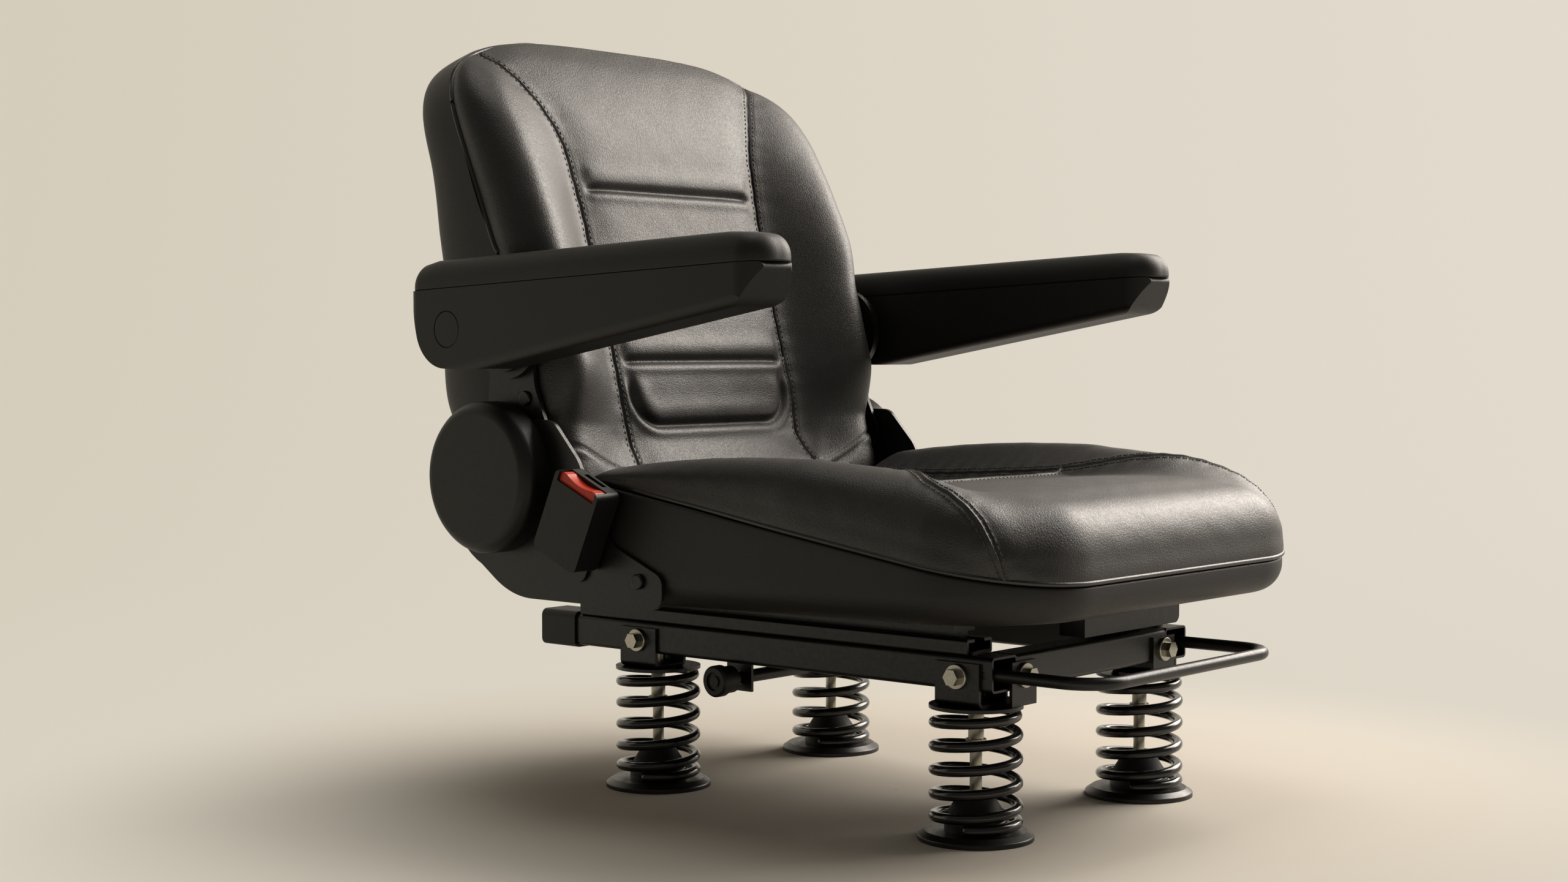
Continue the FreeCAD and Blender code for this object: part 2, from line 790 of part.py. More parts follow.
def draw_path(sketch, spots):
    """Draw an open path of (x, y) or (x, y, radius) spots and bind every spot."""
    points = [Vector(s[0].value, s[1].value, 0) for s in spots]
    ends = []
    for i, here in enumerate(points):
        if len(spots[i]) < 3:
            ends.append((here, here, None))
            continue
        back = (points[i - 1] - here).normalize()
        ahead = (points[i + 1] - here).normalize()
        half = back.getAngle(ahead) / 2
        reach = spots[i][2].value / math.tan(half)
        middle = here + (back + ahead).normalize() * (spots[i][2].value / math.sin(half))
        enter, leave = here + back * reach, here + ahead * reach
        angles = [math.atan2((p - middle).y, (p - middle).x) for p in (enter, leave)]
        circle = Part.Circle(middle, Vector(0, 0, 1), spots[i][2].value)
        ends.append((enter, leave, Part.ArcOfCircle(circle, angles[0], angles[1])))
    lines = [
        sketch.addGeometry(Part.LineSegment(ends[i][1], ends[i + 1][0]))
        for i in range(len(points) - 1)
    ]
    for i, spot in enumerate(spots):
        if ends[i][2]:
            arc = sketch.addGeometry(ends[i][2])
            sketch.addConstraint(Sketcher.Constraint("Tangent", lines[i - 1], 2, arc, 1))
            sketch.addConstraint(Sketcher.Constraint("Tangent", arc, 2, lines[i], 1))
            index = sketch.addConstraint(Sketcher.Constraint("Radius", arc, spot[2].value))
            sketch.setExpression(f"Constraints[{index}]", spot[2].text)
            anchor, end = sketch.addGeometry(Part.Point(points[i]), True), 1
            sketch.addConstraint(Sketcher.Constraint("PointOnObject", anchor, 1, lines[i - 1]))
            sketch.addConstraint(Sketcher.Constraint("PointOnObject", anchor, 1, lines[i]))
        else:
            anchor, end = (lines[i], 1) if i < len(lines) else (lines[i - 1], 2)
        for kind, dim in zip(("DistanceX", "DistanceY"), spot):
            index = sketch.addConstraint(Sketcher.Constraint(kind, -1, 1, anchor, end, dim.value))
            sketch.setExpression(f"Constraints[{index}]", dim.text)


def make_adjuster():
    """Cross shaft with a ringed knob, carried by two hangers under the rails."""
    radius = size("shaft_radius")
    y = size("shaft_place")
    z = rail_low - size("shaft_drop")
    half = size("hanger_width") / 2
    hangers = []
    for side in (-1, 1):
        middle = rail_axis * side
        hanger = block((middle - plate / 2, middle + plate / 2), (y - half, y + half),
                       (z - half * 0.8, rail_low))
        hangers.append(cut(hanger, rod(radius + seat_gap, plate * 3, middle - plate * 1.5, y, z, "X")))
    node("shaft_hangers", group(*hangers))
    knob = size("knob_radius")
    length = size("knob_length")
    knob_x = -rail_outer - length * 0.8
    node("adjuster_shaft", rod(radius, rail_axis * 2 + plate * 4, -rail_axis - plate * 2, y, z, "X"))
    rings = [
        (0, 1), (knob * 0.35, 1), (knob * 0.35, 2.5),
        (knob * 0.6, 2.5), (knob * 0.6, 0.5), (knob * 0.85, 0.5),
        (knob, 2.5), (knob, length * 0.42), (knob * 0.86, length * 0.42), (knob * 0.86, length),
        (radius + seat_gap, length), (0, length),
    ]
    collar = turned("knob", rings, knob_x, y, z, "X")
    neck_start = knob_x + length
    neck = rod(radius, -rail_axis - plate * 2 - neck_start, neck_start, y, z, "X")
    node("adjuster_knob", fuse(collar, neck))


def pan_solid(inset, lift):
    """Body of the pan inside a given inset, up to a given lift over its rim."""
    side = size("seat_half_width") - inset
    front = -size("seat_front") + inset
    floor_end = size("pan_floor_end")
    roll = size("roll_radius")
    back = size("pivot_y") + roll + size("pan_back_room") - inset
    tail_y = size("pivot_y") + roll - size("pan_tail_inset")
    tail_z = size("pivot_z") - roll + size("pan_tail_rise")
    tail_round = size("pan_tail_round") - inset
    profile = [
        (front, pan_floor(front) + inset, 24), (floor_end, size("pan_floor_rear") + inset, tail_round),
        (tail_y - inset * 0.7, tail_z + inset * 0.7, tail_round),
        (back, size("pan_back_z") + inset * 0.5, 14), (back, size("pan_back_top") + lift),
        (size("pivot_y"), rim(size("pivot_y")) + lift), (front, rim(front) + lift),
    ]
    corner = size("seat_front_corner") - inset
    plan = [
        (-side, front, corner), (side, front, corner), (side, back + 10, 30), (-side, back + 10, 30),
    ]
    high = rim(back) + lift + 40
    low = size("pan_floor_rear") + inset - 1
    round_low = size("pan_side_round")
    section = [(-side, low, round_low), (side, low, round_low), (side, high), (-side, high)]
    return common(
        pad("pan_profile", "YZ_Plane", [profile], -side, side * 2),
        pad("pan_plan", "XY_Plane", [plan], low - 1, high - low + 1),
        pad("pan_section", "XZ_Plane", [section], front, back - front),
    )


def roll_room(extra):
    """Cylinder round the hinge axis that the lower end of the back turns in."""
    reach = size("seat_half_width") + 20
    return rod(size("roll_radius") + extra, reach * 2, -reach, size("pivot_y"), size("pivot_z"), "X")


def make_pan():
    """Moulded seat pan, open to the top and scooped out for the lower end of the back."""
    shell = cut(pan_solid(as_dim(0), as_dim(0)), pan_solid(size("pan_wall"), as_dim(30)),
                roll_room(size("roll_gap")))
    node("seat_pan", shell)
    front = -size("stop_front")
    back = front + size("stop_depth")
    low = size("stop_low")
    high = pan_floor(back) - seat_gap / 2
    right = -size("stop_right")
    left = size("stop_left")
    face = [(right, low), (left, low, size("stop_round")), (left, high), (right, high)]
    node("front_stop", pad("stop", "XZ_Plane", [face], front, size("stop_depth")))


def smooth(t):
    """Smooth step from 0 to 1."""
    t = min(max(t, 0.0), 1.0)
    return t * t * (3 - 2 * t)


def seat_half_width_at(y):
    """Half the seat's width at a place along it, with rounded front corners."""
    corner = size("seat_front_corner").value
    side = size("seat_half_width").value
    start = -size("seat_front").value + corner
    if y >= start:
        return side
    return side - corner + math.sqrt(max(corner ** 2 - (start - y) ** 2, 0.0))


def seat_top(y):
    """Heights of the seat's middle and of its bolsters at a place along it."""
    crest = size("crest_height").value
    place_y = -size("crest_place").value
    base = rim(y).value
    if y < place_y:
        t = (place_y - y) / (size("seat_front").value + place_y)
        fall = math.sqrt(max(1 - t ** 2.4, 0.0))
        middle = base + (crest - base) * fall
        return middle, middle
    along = (y - place_y) / (size("pivot_y").value - place_y)
    middle = crest - size("seat_dip").value * smooth(along * 1.4)
    swell = math.sin(math.pi * min(along * 1.15, 1.0) * 0.62)
    side = crest + size("bolster_rise").value * swell
    return middle, side


def seat_stations():
    """Places of the cushion's loft sections, closer together towards the rolled front."""
    front = -size("seat_front").value
    length = size("pivot_y").value - size("roll_radius").value * 0.75 - front
    count = 12
    return [front + 3 + (length - 3) * (step / (count - 1)) ** 1.8 for step in range(count)]


def make_cushion():
    """Seat cushion lofted through cross sections with side bolsters and a rolled front."""
    sections = []
    front = size("seat_front").value
    for y in seat_stations():
        half = seat_half_width_at(y) - size("cover_inset").value
        middle, side = seat_top(y)
        base = rim(y).value + seat_gap.value
        width = size("bolster_width").value
        right = [
            (half, base), (half + 1, base + 0.45 * (side - base)), (half - 8, base + 0.82 * (side - base)),
            (half - 30, side), (half - width * 0.68, middle + 0.45 * (side - middle)),
            (half - width, middle + 1),
        ]
        outline = right + [(0, middle)] + [(-x, z) for x, z in reversed(right)]
        low = min(base, middle - size("foam_floor").value)
        under = [(-half, base), (14 - half, base), (60 - half, low)]
        under += [(-x, z) for x, z in reversed(under)]
        curve = Part.BSplineCurve()
        curve.interpolate([Vector(x, y, z) for x, z in outline])
        floor = Part.makePolygon([Vector(x, y, z) for x, z in under])
        sections.append(Part.Wire([curve.toShape()] + floor.Edges))
    loft = doc.addObject("Part::Feature", "seat_foam")
    loft.Shape = Part.makeLoft(sections, True, False, False, 3)
    node("seat_cushion", cut(loft, roll_room(size("roll_gap"))))


class BackForm:
    """Shape of the backrest in its own upright frame, height u and depth v from the hinge axis."""

    def __init__(self):
        self.roll = size("roll_radius").value + size("roll_trim").value
        self.half = size("seat_half_width").value
        self.room = size("hinge_room").value
        self.room_top = size("hinge_room_top").value
        self.room_blend = size("hinge_room_blend").value
        self.top = size("back_top").value
        self.shoulder = size("back_shoulder").value
        self.round = size("back_edge_round").value
        self.rear_low = size("back_depth_low").value
        self.rear_high = size("back_depth_high").value
        self.panel = size("back_panel_depth").value
        self.bolster = size("back_bolster_depth").value
        self.crest = size("back_bolster_crest").value
        self.bolster_width = size("back_bolster_width").value
        self.low_edge = size("shell_edge_low").value
        self.high_edge = size("shell_edge_high").value
        self.corner = size("shell_round").value
        self.inset = size("cover_inset").value

    def stations(self):
        """Heights of the loft sections, closer together where the form turns."""
        low = [self.roll * t for t in (-0.96, -0.85, -0.65, -0.35, 0.0, 0.25, 0.5, 0.95, 1.5, 2.1)]
        span = self.top - self.shoulder
        high = [self.shoulder + span * t for t in (0.0, 0.3, 0.55, 0.72, 0.84, 0.92, 0.965, 0.99)]
        return low + high

    def width(self, u):
        """Half width at a height: room for the hinge low down, rounding over to the top."""
        t = max((u - self.shoulder) / (self.top - self.shoulder), 0.0)
        room = self.room * (1 - smooth((u - self.room_top) / self.room_blend))
        return self.half * (1 - t ** 6.5) ** (1 / 3) - room

    def turn(self, u):
        """Half depth of the round lower end."""
        return math.sqrt(max(self.roll ** 2 - min(u, 0.4 * self.roll) ** 2, 0.0))

    def close(self, u, v):
        """Depth drawn in towards the rounded top edge."""
        t = max((u - (self.top - self.round)) / self.round, 0.0)
        return (v + self.high_edge) * math.sqrt(1 - min(t, 1.0) ** 4) - self.high_edge

    def rear(self, u):
        """Depth of the back face, thick over the hinge and thin towards the top."""
        if u < 0.35 * self.roll:
            return self.turn(u)
        swell = smooth((u / self.roll - 0.35) / 0.8)
        thin = smooth((u / self.top - 0.2) / 0.5)
        flat = self.rear_low + (self.rear_high - self.rear_low) * thin
        return self.close(u, self.turn(u) + (flat - self.turn(u)) * swell)

    def panel_face(self, u):
        """Depth of the middle of the front face."""
        bend = max((u - 0.68 * self.top) / (0.32 * self.top), 0.0)
        flat = -self.panel * (0.93 + 0.07 * smooth(u / self.roll)) + 0.75 * self.panel * bend ** 2
        lift = smooth((u / self.roll + 0.58) / 0.9)
        return self.close(u, flat * lift - self.turn(u) * (1 - lift))

    def bolster_face(self, u):
        """Depth of the bolsters at the sides of the front face."""
        if u < 0.2 * self.roll:
            return -self.turn(u)
        swell = smooth((u / self.roll - 0.2) / 0.9)
        full = -(self.turn(u) + (self.bolster - self.turn(u)) * swell)
        fade = smooth((u / self.top - 0.43) / 0.57)
        return full + (self.panel_face(u) - full) * fade

    def edge(self, u):
        """Depth of the seam between the cushion and the shell."""
        if u < 0:
            return -0.5 * self.turn(u)
        start = -0.5 * self.roll
        bend = 2 * self.roll
        low = start - (self.low_edge + start) * smooth(u / bend)
        t = max((u - bend) / (self.top - bend), 0.0)
        return self.close(u, low + (self.low_edge - self.high_edge) * t)

    def cushion_section(self, u):
        """Closed cross section of the cushion at a height."""
        half = self.width(u) - self.inset
        rim_v = self.edge(u) - seat_gap.value
        panel, side = self.panel_face(u), self.bolster_face(u)
        crest = min(self.crest, 0.3 * half)
        inner = min(self.bolster_width, 0.55 * half)
        right = [
            (half, rim_v), (half - 0.1 * crest, rim_v + 0.5 * (side - rim_v)),
            (half - 0.35 * crest, rim_v + 0.85 * (side - rim_v)), (half - 1.6 * crest, side),
            (half - 0.6 * inner, side + 0.55 * (panel - side)), (half - inner, panel),
        ]
        return self.wire(u, right + [(0, panel)] + [(-x, v) for x, v in reversed(right)])

    def shell_section(self, u, inset, mouth):
        """Closed cross section of the shell's outside, or of its inside for an inset."""
        half = self.width(u) - inset
        rear = self.rear(u) - inset
        front = self.edge(u) - mouth
        bend = min(self.corner, 0.4 * half, 0.45 * (rear - front))
        right = [
            (half, front), (half, 0.5 * (front + rear - bend)), (half - 0.04 * bend, rear - bend),
            (half - 0.3 * bend, rear - 0.3 * bend), (half - bend, rear - 0.06 * bend), (0.5 * half, rear),
        ]
        return self.wire(u, right + [(0, rear)] + [(-x, v) for x, v in reversed(right)])

    def wire(self, u, outline):
        """A smooth curve through an outline, closed by a straight line."""
        spots = [Vector(x, v, u) for x, v in outline]
        curve = Part.BSplineCurve()
        curve.interpolate(spots)
        return Part.Wire([curve.toShape(), Part.LineSegment(spots[-1], spots[0]).toShape()])


def leaning():
    """Place of the backrest: on the hinge axis, reclined."""
    turn = FreeCAD.Rotation(Vector(1, 0, 0), -size("recline").value)
    return FreeCAD.Placement(Vector(0, size("pivot_y").value, size("pivot_z").value), turn)


def lofted(word, sections):
    """A smooth solid through sections, leaning with the back."""
    solid = doc.addObject("Part::Feature", unique(word))
    solid.Shape = Part.makeLoft(sections, True, False, False, 3)
    solid.Placement = leaning()
    return solid


def hinge_trim():
    """All round the lower end of the back, outside the cylinder that it turns on."""
    roll = size("roll_radius")
    reach = size("seat_half_width") * 1.1
    deep = roll * 3
    front = block((-reach, reach), (-deep, 0), (-deep, roll * 0.18))
    behind = block((-reach, reach), (0, deep), (-deep, roll * 0.36))
    around = fuse(front, behind)
    around.Placement = leaning()
    return cut(around, roll_room(as_dim(0)))


def make_back():
    """Backrest shell moulded as an open tray, and the cushion that closes it."""
    form = BackForm()
    heights = form.stations()
    outside = lofted("shell_outside", [form.shell_section(u, 0, 0) for u in heights])
    thick = size("shell_wall").value
    inner = [u for u in heights if u < form.top - 2 * thick]
    inside = lofted("shell_inside", [form.shell_section(u, thick, 2) for u in inner[1:]])
    node("back_shell", cut(outside, inside, hinge_trim()))
    foam = lofted("back_foam", [form.cushion_section(u) for u in heights])
    node("back_cushion", cut(foam, hinge_trim()))


# Steel layers beside the hinge, counted outwards on the right-hand side
steel = size("steel")
arm_plate_in = size("hinge_room") - size("seat_half_width") - seat_gap
arm_plate_out = arm_plate_in - steel
hinge_plate_in = -size("seat_half_width") - seat_gap
hinge_plate_out = hinge_plate_in - steel
pivot_y = size("pivot_y")
pivot_z = size("pivot_z")
arm_y = size("arm_pivot_y")
arm_z = size("arm_pivot_z")
arm_inner = size("seat_half_width") + size("arm_gap")


def make_hinge():
    """Seat-side hinge plates with pins, screws and round covers."""
    low = size("pan_floor_rear") + 2
    reach = size("roll_radius")
    nose = size("hinge_plate_front")
    outline = [
        (nose, low, 14), (size("pan_floor_end") - 4, low, size("hinge_plate_heel")),
        (pivot_y + reach * 0.55, pivot_z - reach * 0.9, 20), (pivot_y + reach * 0.85, pivot_z, 50),
        (pivot_y + reach * 0.2, pivot_z + reach * 0.7, 40),
        (pivot_y - reach * 0.94, pivot_z + reach * 0.7, 18),
        (pivot_y - reach * 1.36, pivot_z + reach * 0.25, 30),
        (nose + size("hinge_plate_step"), low + size("hinge_plate_step_rise"), 30),
        (nose, low + size("hinge_plate_nose"), 12),
    ]
    blank = pad("hinge_plate", "YZ_Plane", [outline], hinge_plate_out, steel)
    pin = size("pin_radius")
    outside = hinge_plate_out - steel
    anchor = rod(size("rivet_radius"), steel * 3, outside, size("buckle_y"), size("buckle_z"), "X")
    bore = rod(pin, steel * 3, outside, pivot_y, pivot_z, "X")
    pair("hinge_plate", cut(blank, bore, anchor))
    shank = arm_plate_in - hinge_plate_out - seat_gap
    pin_outline = [
        (0, 0), (pin * 1.7, 0, 1.5), (pin * 1.7, steel),
        (pin, steel), (pin, steel + shank), (0, steel + shank),
    ]
    pair("hinge_pin", turned("pin", pin_outline, hinge_plate_out - steel, pivot_y, pivot_z, "X"))
    radius = size("cover_radius")
    depth = size("cover_depth")
    thick = size("cover_wall")
    dome = [
        (0, 0), (radius * 0.9, 0, 10), (radius, size("cover_round"), size("cover_round")), (radius, depth),
        (radius - thick, depth), (radius - thick, size("cover_round") + thick),
        (radius * 0.9 - thick, thick * 1.3),
        (0, thick * 1.3),
    ]
    pair("hinge_cover", turned("cover", dome, hinge_plate_out - seat_gap - depth, pivot_y, pivot_z, "X"))
    screws = []
    head = [
        (0, 0), (size("screw_head_radius"), 0, 1.5), (size("screw_head_radius"), size("screw_head_height")),
        (0, size("screw_head_height")),
    ]
    screw_z = low + size("hinge_screw_rise")
    reach = size("hinge_screw_reach")
    for y, z in ((nose + size("hinge_screw_inset"), screw_z), (pivot_y - reach, pivot_z - reach)):
        screw = turned("screw", head, hinge_plate_out - size("screw_head_height"), y, z, "X")
        screws += [screw, mirrored(screw)]
    node("hinge_plate_screws", group(*screws))


def make_arm_brackets():
    """Steel brackets on the sides of the back that carry the armrests on ringed hubs."""
    pin = size("pin_radius")
    foot = size("arm_plate_foot")
    foot_half = size("arm_plate_foot_half")
    head_half = size("arm_plate_head_half")
    head_top = arm_z + size("arm_plate_head")
    front = pivot_y - size("arm_plate_front")
    outline = [
        (pivot_y + foot_half, pivot_z - foot, 26), (arm_y + head_half, head_top, 20),
        (arm_y - head_half, head_top, 18), (arm_y - foot_half, arm_z - size("arm_plate_waist"), 40),
        (front, pivot_z + foot - 4, 12), (front + 10, pivot_z + 4, 14),
        (pivot_y - foot_half, pivot_z - foot, 26),
    ]
    blank = pad("arm_plate", "YZ_Plane", [outline], arm_plate_out, steel)
    holes = [
        rod(pin + seat_gap, steel * 3, arm_plate_out - steel, pivot_y, pivot_z, "X"),
        rod(pin, steel * 3, arm_plate_out - steel, arm_y, arm_z, "X"),
    ]
    pair("arm_bracket", cut(blank, *holes))
    hub = size("hub_radius")
    gap = arm_inner + arm_plate_out - seat_gap
    pin_end = size("arm_width") * 0.55
    stem = steel
    steps = [
        (0, 0), (pin, 0), (pin, pin_end), (hub * 0.72, pin_end), (hub * 0.72, pin_end + gap * 0.3),
        (hub * 0.86, pin_end + gap * 0.3), (hub * 0.86, pin_end + gap * 0.62), (hub, pin_end + gap * 0.62),
        (hub, pin_end + gap), (pin, pin_end + gap), (pin, pin_end + gap + stem), (0, pin_end + gap + stem),
    ]
    start = -arm_inner + seat_gap - pin_end
    pair("arm_hub", turned("hub", steps, start, arm_y, arm_z, "X"))
    low_head = size("arm_screw_head")
    head = [
        (0, 0), (size("screw_head_radius"), 0, 1.5), (size("screw_head_radius"), low_head), (0, low_head),
    ]
    screws = []
    for step in range(2):
        y = arm_y - size("arm_screw_inset") - size("arm_screw_pitch") * 0.3 * step
        z = arm_z - size("arm_screw_drop") - size("arm_screw_pitch") * step
        screw = turned("screw", head, arm_plate_out - low_head, y, z, "X")
        screws += [screw, mirrored(screw)]
    node("arm_bracket_screws", group(*screws))


def seam_height(y):
    """Height of the parting line between the arm pad and the arm body."""
    run = size("arm_rear") + size("arm_front")
    rise = size("arm_seam_front") - size("arm_seam_rear")
    return size("arm_seam_rear") + (size("arm_rear") - as_dim(y)) * rise / run


def arm_plan(low, high):
    """Plan outline of an armrest as a tall block with a rounded nose."""
    outer = -arm_inner - size("arm_width")
    inner = -arm_inner
    nose = size("arm_nose_round")
    plan = [
        (outer, -size("arm_front"), nose), (inner, -size("arm_front"), nose),
        (inner, size("arm_rear"), 12), (outer, size("arm_rear"), 12),
    ]
    return pad("arm_plan", "XY_Plane", [plan], low, high - low)


def make_arms():
    """Armrests: tapering plastic bodies, soft pads and pivot caps."""
    rear = size("arm_rear")
    front = -size("arm_front")
    outer = -arm_inner - size("arm_width")
    belly_rear = size("arm_belly_rear")
    belly_front = size("arm_belly_front")
    low = belly_rear - 5
    high = size("arm_seam_front") + size("arm_pad_height") + 5
    knee = arm_y - size("arm_knee")
    chin = front + size("arm_chin")
    body = [
        (rear - size("arm_heel"), belly_rear, size("arm_heel_round")), (rear, seam_height(rear)),
        (front, seam_height(front), 4), (chin, belly_front, 20), (knee, belly_rear, 60),
    ]
    profile = pad("arm_body", "YZ_Plane", [list(reversed(body))], outer, size("arm_width"))
    edge = size("arm_edge_round")
    tall = size("arm_width") * 3
    section = [(outer, 0, edge), (-arm_inner, 0, edge), (-arm_inner, tall), (outer, tall)]
    trough = pad("arm_section", "XZ_Plane", [section], 0, tall * 4)
    climb = math.atan2((belly_front - belly_rear).value, (knee - chin).value)
    tilt = FreeCAD.Rotation(Vector(1, 0, 0), -math.degrees(climb))
    start = tilt.multVec(Vector(0, -2 * tall.value, 0))
    place(trough, 0, knee + start.y, belly_rear + start.z, tilt)
    pin = rod(size("pin_radius") + seat_gap, size("arm_width") * 0.6, -arm_inner - size("arm_width") * 0.58,
              arm_y, arm_z, "X")
    recess = rod(size("cap_radius"), size("cap_depth") * 2, outer - size("cap_depth"), arm_y, arm_z, "X")
    pair("arm_body", cut(common(profile, arm_plan(low, high), trough), pin, recess))
    top = size("arm_pad_height")
    pad_side = [
        (rear, seam_height(rear) + seat_gap), (rear, seam_height(rear) + top, 16),
        (front, seam_height(front) + top, 16), (front, seam_height(front) + seat_gap),
    ]
    cushion = pad("arm_pad", "YZ_Plane", [list(reversed(pad_side))], outer, size("arm_width"))
    pair("arm_pad", common(cushion, arm_plan(low, high)))
    disc = [
        (0, 0), (size("cap_radius") - run_gap, 0, 1), (size("cap_radius") - run_gap, size("cap_depth")),
        (0, size("cap_depth")),
    ]
    pair("arm_cap", turned("arm_cap", disc, outer, arm_y, arm_z, "X"))


def make_buckles():
    """Belt buckles on steel straps, each with a tongue slot and a press button."""
    strap_out = hinge_plate_out - seat_gap - plate
    inner = strap_out - seat_gap
    outer = inner - size("buckle_thickness")
    half = size("buckle_half_width")
    low = -size("buckle_below")
    high = size("buckle_above")
    lean = FreeCAD.Rotation(Vector(1, 0, 0), size("buckle_lean").value)

    def lay(label, thing):
        place(thing, 0, size("buckle_y"), size("buckle_z"), lean)
        pair(label, thing)

    front = [(-half, low, 7), (half, low, 7), (half, high, 6), (-half, high, 6)]
    case = pad("buckle", "YZ_Plane", [front], outer, size("buckle_thickness"))
    notch_in = outer + size("button_depth")
    button = size("button_half_width")
    button_low = high - size("button_height") - 2
    lip = outer + size("button_lip")
    pocket_low = button_low - size("button_travel") - 1
    pocket = block((lip, notch_in), (-button, button), (pocket_low, high + 5))
    mouth = block((outer - 5, lip + 1), (-button, button), (high - size("button_show"), high + 5))
    tongue = size("tongue_half_width")
    slot_in = inner - plate
    slot_low = high - size("tongue_depth")
    slot = block((slot_in - size("tongue_gap"), slot_in), (-tongue, tongue), (slot_low, high + 5))
    lay("buckle_body", cut(case, pocket, mouth, slot))
    key_half = button - run_gap
    face = [
        (-key_half, button_low, 2), (key_half, button_low, 2),
        (key_half, high - 1, 3), (-key_half, high - 1, 3),
    ]
    key_depth = size("button_depth") - size("button_lip") - seat_gap * 2
    key = pad("button", "YZ_Plane", [face], lip + seat_gap, key_depth)
    dish = rod(button * 2, button * 2, outer - button, 0, high + button * 2 - size("button_dish"), "X")
    lay("buckle_button", cut(key, dish))
    strap_half = size("strap_half_width")
    strip = [
        (-strap_half, -size("strap_below"), 12), (strap_half, -size("strap_below"), 12),
        (strap_half, size("strap_above"), 4), (-strap_half, size("strap_above"), 4),
    ]
    strap = pad("strap", "YZ_Plane", [strip], strap_out, plate)
    hole = rod(size("rivet_radius") + seat_gap, plate * 3, strap_out - plate, 0, 0, "X")
    lay("buckle_strap", cut(strap, hole))
    grip = steel + seat_gap + plate
    rivet = rod(size("rivet_radius"), grip, strap_out, size("buckle_y"), size("buckle_z"), "X")
    node("buckle_rivets", group(rivet, mirrored(rivet)))


def export():
    """Check every object and write each sub-part to its own file."""
    doc.recompute()
    failed = [thing.Name for thing in doc.Objects if {"Invalid", "Error"} & set(thing.State)]
    if failed:
        raise RuntimeError(f"objects that failed to build: {failed}")
    for thing in nodes:
        if thing.Shape.isNull() or not thing.Shape.isValid() or not thing.Shape.Solids:
            raise RuntimeError(f"bad shape: {thing.Label}")
    os.makedirs("parts", exist_ok=True)
    for thing in nodes:
        thing.Shape.exportStep(f"parts/{thing.Label}.step")
    print(len(nodes), "sub-parts written")


make_feet()
make_springs()
make_rails()
make_brackets()
make_tracks()
make_bar()
make_adjuster()
make_pan()
make_cushion()
make_back()
make_hinge()
make_arm_brackets()
make_arms()
make_buckles()
export()
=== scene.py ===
"""Looks of a sprung ride-on seat: sewn covers, welts, stitches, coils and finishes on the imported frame."""

import logging
import math
from dataclasses import dataclass
from enum import Enum
from itertools import product

import bmesh
import bpy
import numpy as np
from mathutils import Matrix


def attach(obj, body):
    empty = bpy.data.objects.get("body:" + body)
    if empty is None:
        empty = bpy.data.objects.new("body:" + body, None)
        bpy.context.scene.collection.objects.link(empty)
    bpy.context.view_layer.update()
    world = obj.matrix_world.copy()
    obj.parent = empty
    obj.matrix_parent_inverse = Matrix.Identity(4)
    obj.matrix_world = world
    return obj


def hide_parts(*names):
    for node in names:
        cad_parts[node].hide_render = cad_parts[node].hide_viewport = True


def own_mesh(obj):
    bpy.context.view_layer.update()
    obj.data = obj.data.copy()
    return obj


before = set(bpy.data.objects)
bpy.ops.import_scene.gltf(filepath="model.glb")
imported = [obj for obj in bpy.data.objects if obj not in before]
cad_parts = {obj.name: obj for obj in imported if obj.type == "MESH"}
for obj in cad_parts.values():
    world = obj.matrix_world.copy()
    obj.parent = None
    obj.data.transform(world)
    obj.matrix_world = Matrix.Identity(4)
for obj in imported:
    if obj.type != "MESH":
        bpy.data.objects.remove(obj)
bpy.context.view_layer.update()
log = logging.getLogger("seat")

Array = np.ndarray
Pair = tuple[float, float]
Piece = bpy.types.Object

MM = 0.001

# Places of the springs (x, y) in millimetres, on both sides of the middle.
SPRING_AT = (130.0, 187.5)
# Shared by several pieces, in millimetres: hinge axis (y, z), room round it, pan's front end, and its rim.
HINGE_AT = (278.0, 298.0)
HINGE_ROOM = 80.0
PAN_FRONT = -314.0
RIM_FRONT = 226.0
RIM_SLOPE = 0.1488


def smooth(t: Array) -> Array:
    """Smooth step: 3t squared less 2t cubed, between 0 and 1."""
    t = np.clip(t, 0.0, 1.0)
    return t * t * (3.0 - 2.0 * t)


def ramp(t: Array, start: float, run: float) -> Array:
    """Smooth step from 0 at a start to 1 a run farther on."""
    return smooth((t - start) / run)


def bell(t: Array, width: float) -> Array:
    """Bell curve of height 1: e to the power of minus the square of t over its width."""
    return np.exp(-(t / width) ** 2)


def wave(t: Array, s: Array, rate: float, sway: float, slow: float) -> Array:
    """Sine along t, whose phase sways with a slower sine along s."""
    return np.sin(rate * t + sway * np.sin(slow * s))


def unit(vectors: Array) -> Array:
    """Vectors brought to length 1."""
    return vectors / np.linalg.norm(vectors, axis=-1, keepdims=True)


def run_along(curve: Array) -> Array:
    """Length of a curve from its start to each of its samples."""
    return np.concatenate([[0.0], np.cumsum(np.linalg.norm(np.diff(curve, axis=0), axis=1))])


def pan_rim(y: Array) -> Array:
    """Height of the pan's rim: a straight line that rises to the rear."""
    return RIM_FRONT + RIM_SLOPE * (y - PAN_FRONT)


def linear(code: str) -> tuple[float, float, float, float]:
    """Turn an sRGB hex colour into linear light.

    Args:
        code: six hex digits, with or without a leading hash.

    Returns:
        Linear red, green, blue and full alpha.
    """
    parts = np.array([int(code.lstrip("#")[i:i + 2], 16) / 255.0 for i in (0, 2, 4)])
    light = np.where(parts <= 0.04045, parts / 12.92, ((parts + 0.055) / 1.055) ** 2.4)
    return (*light.tolist(), 1.0)


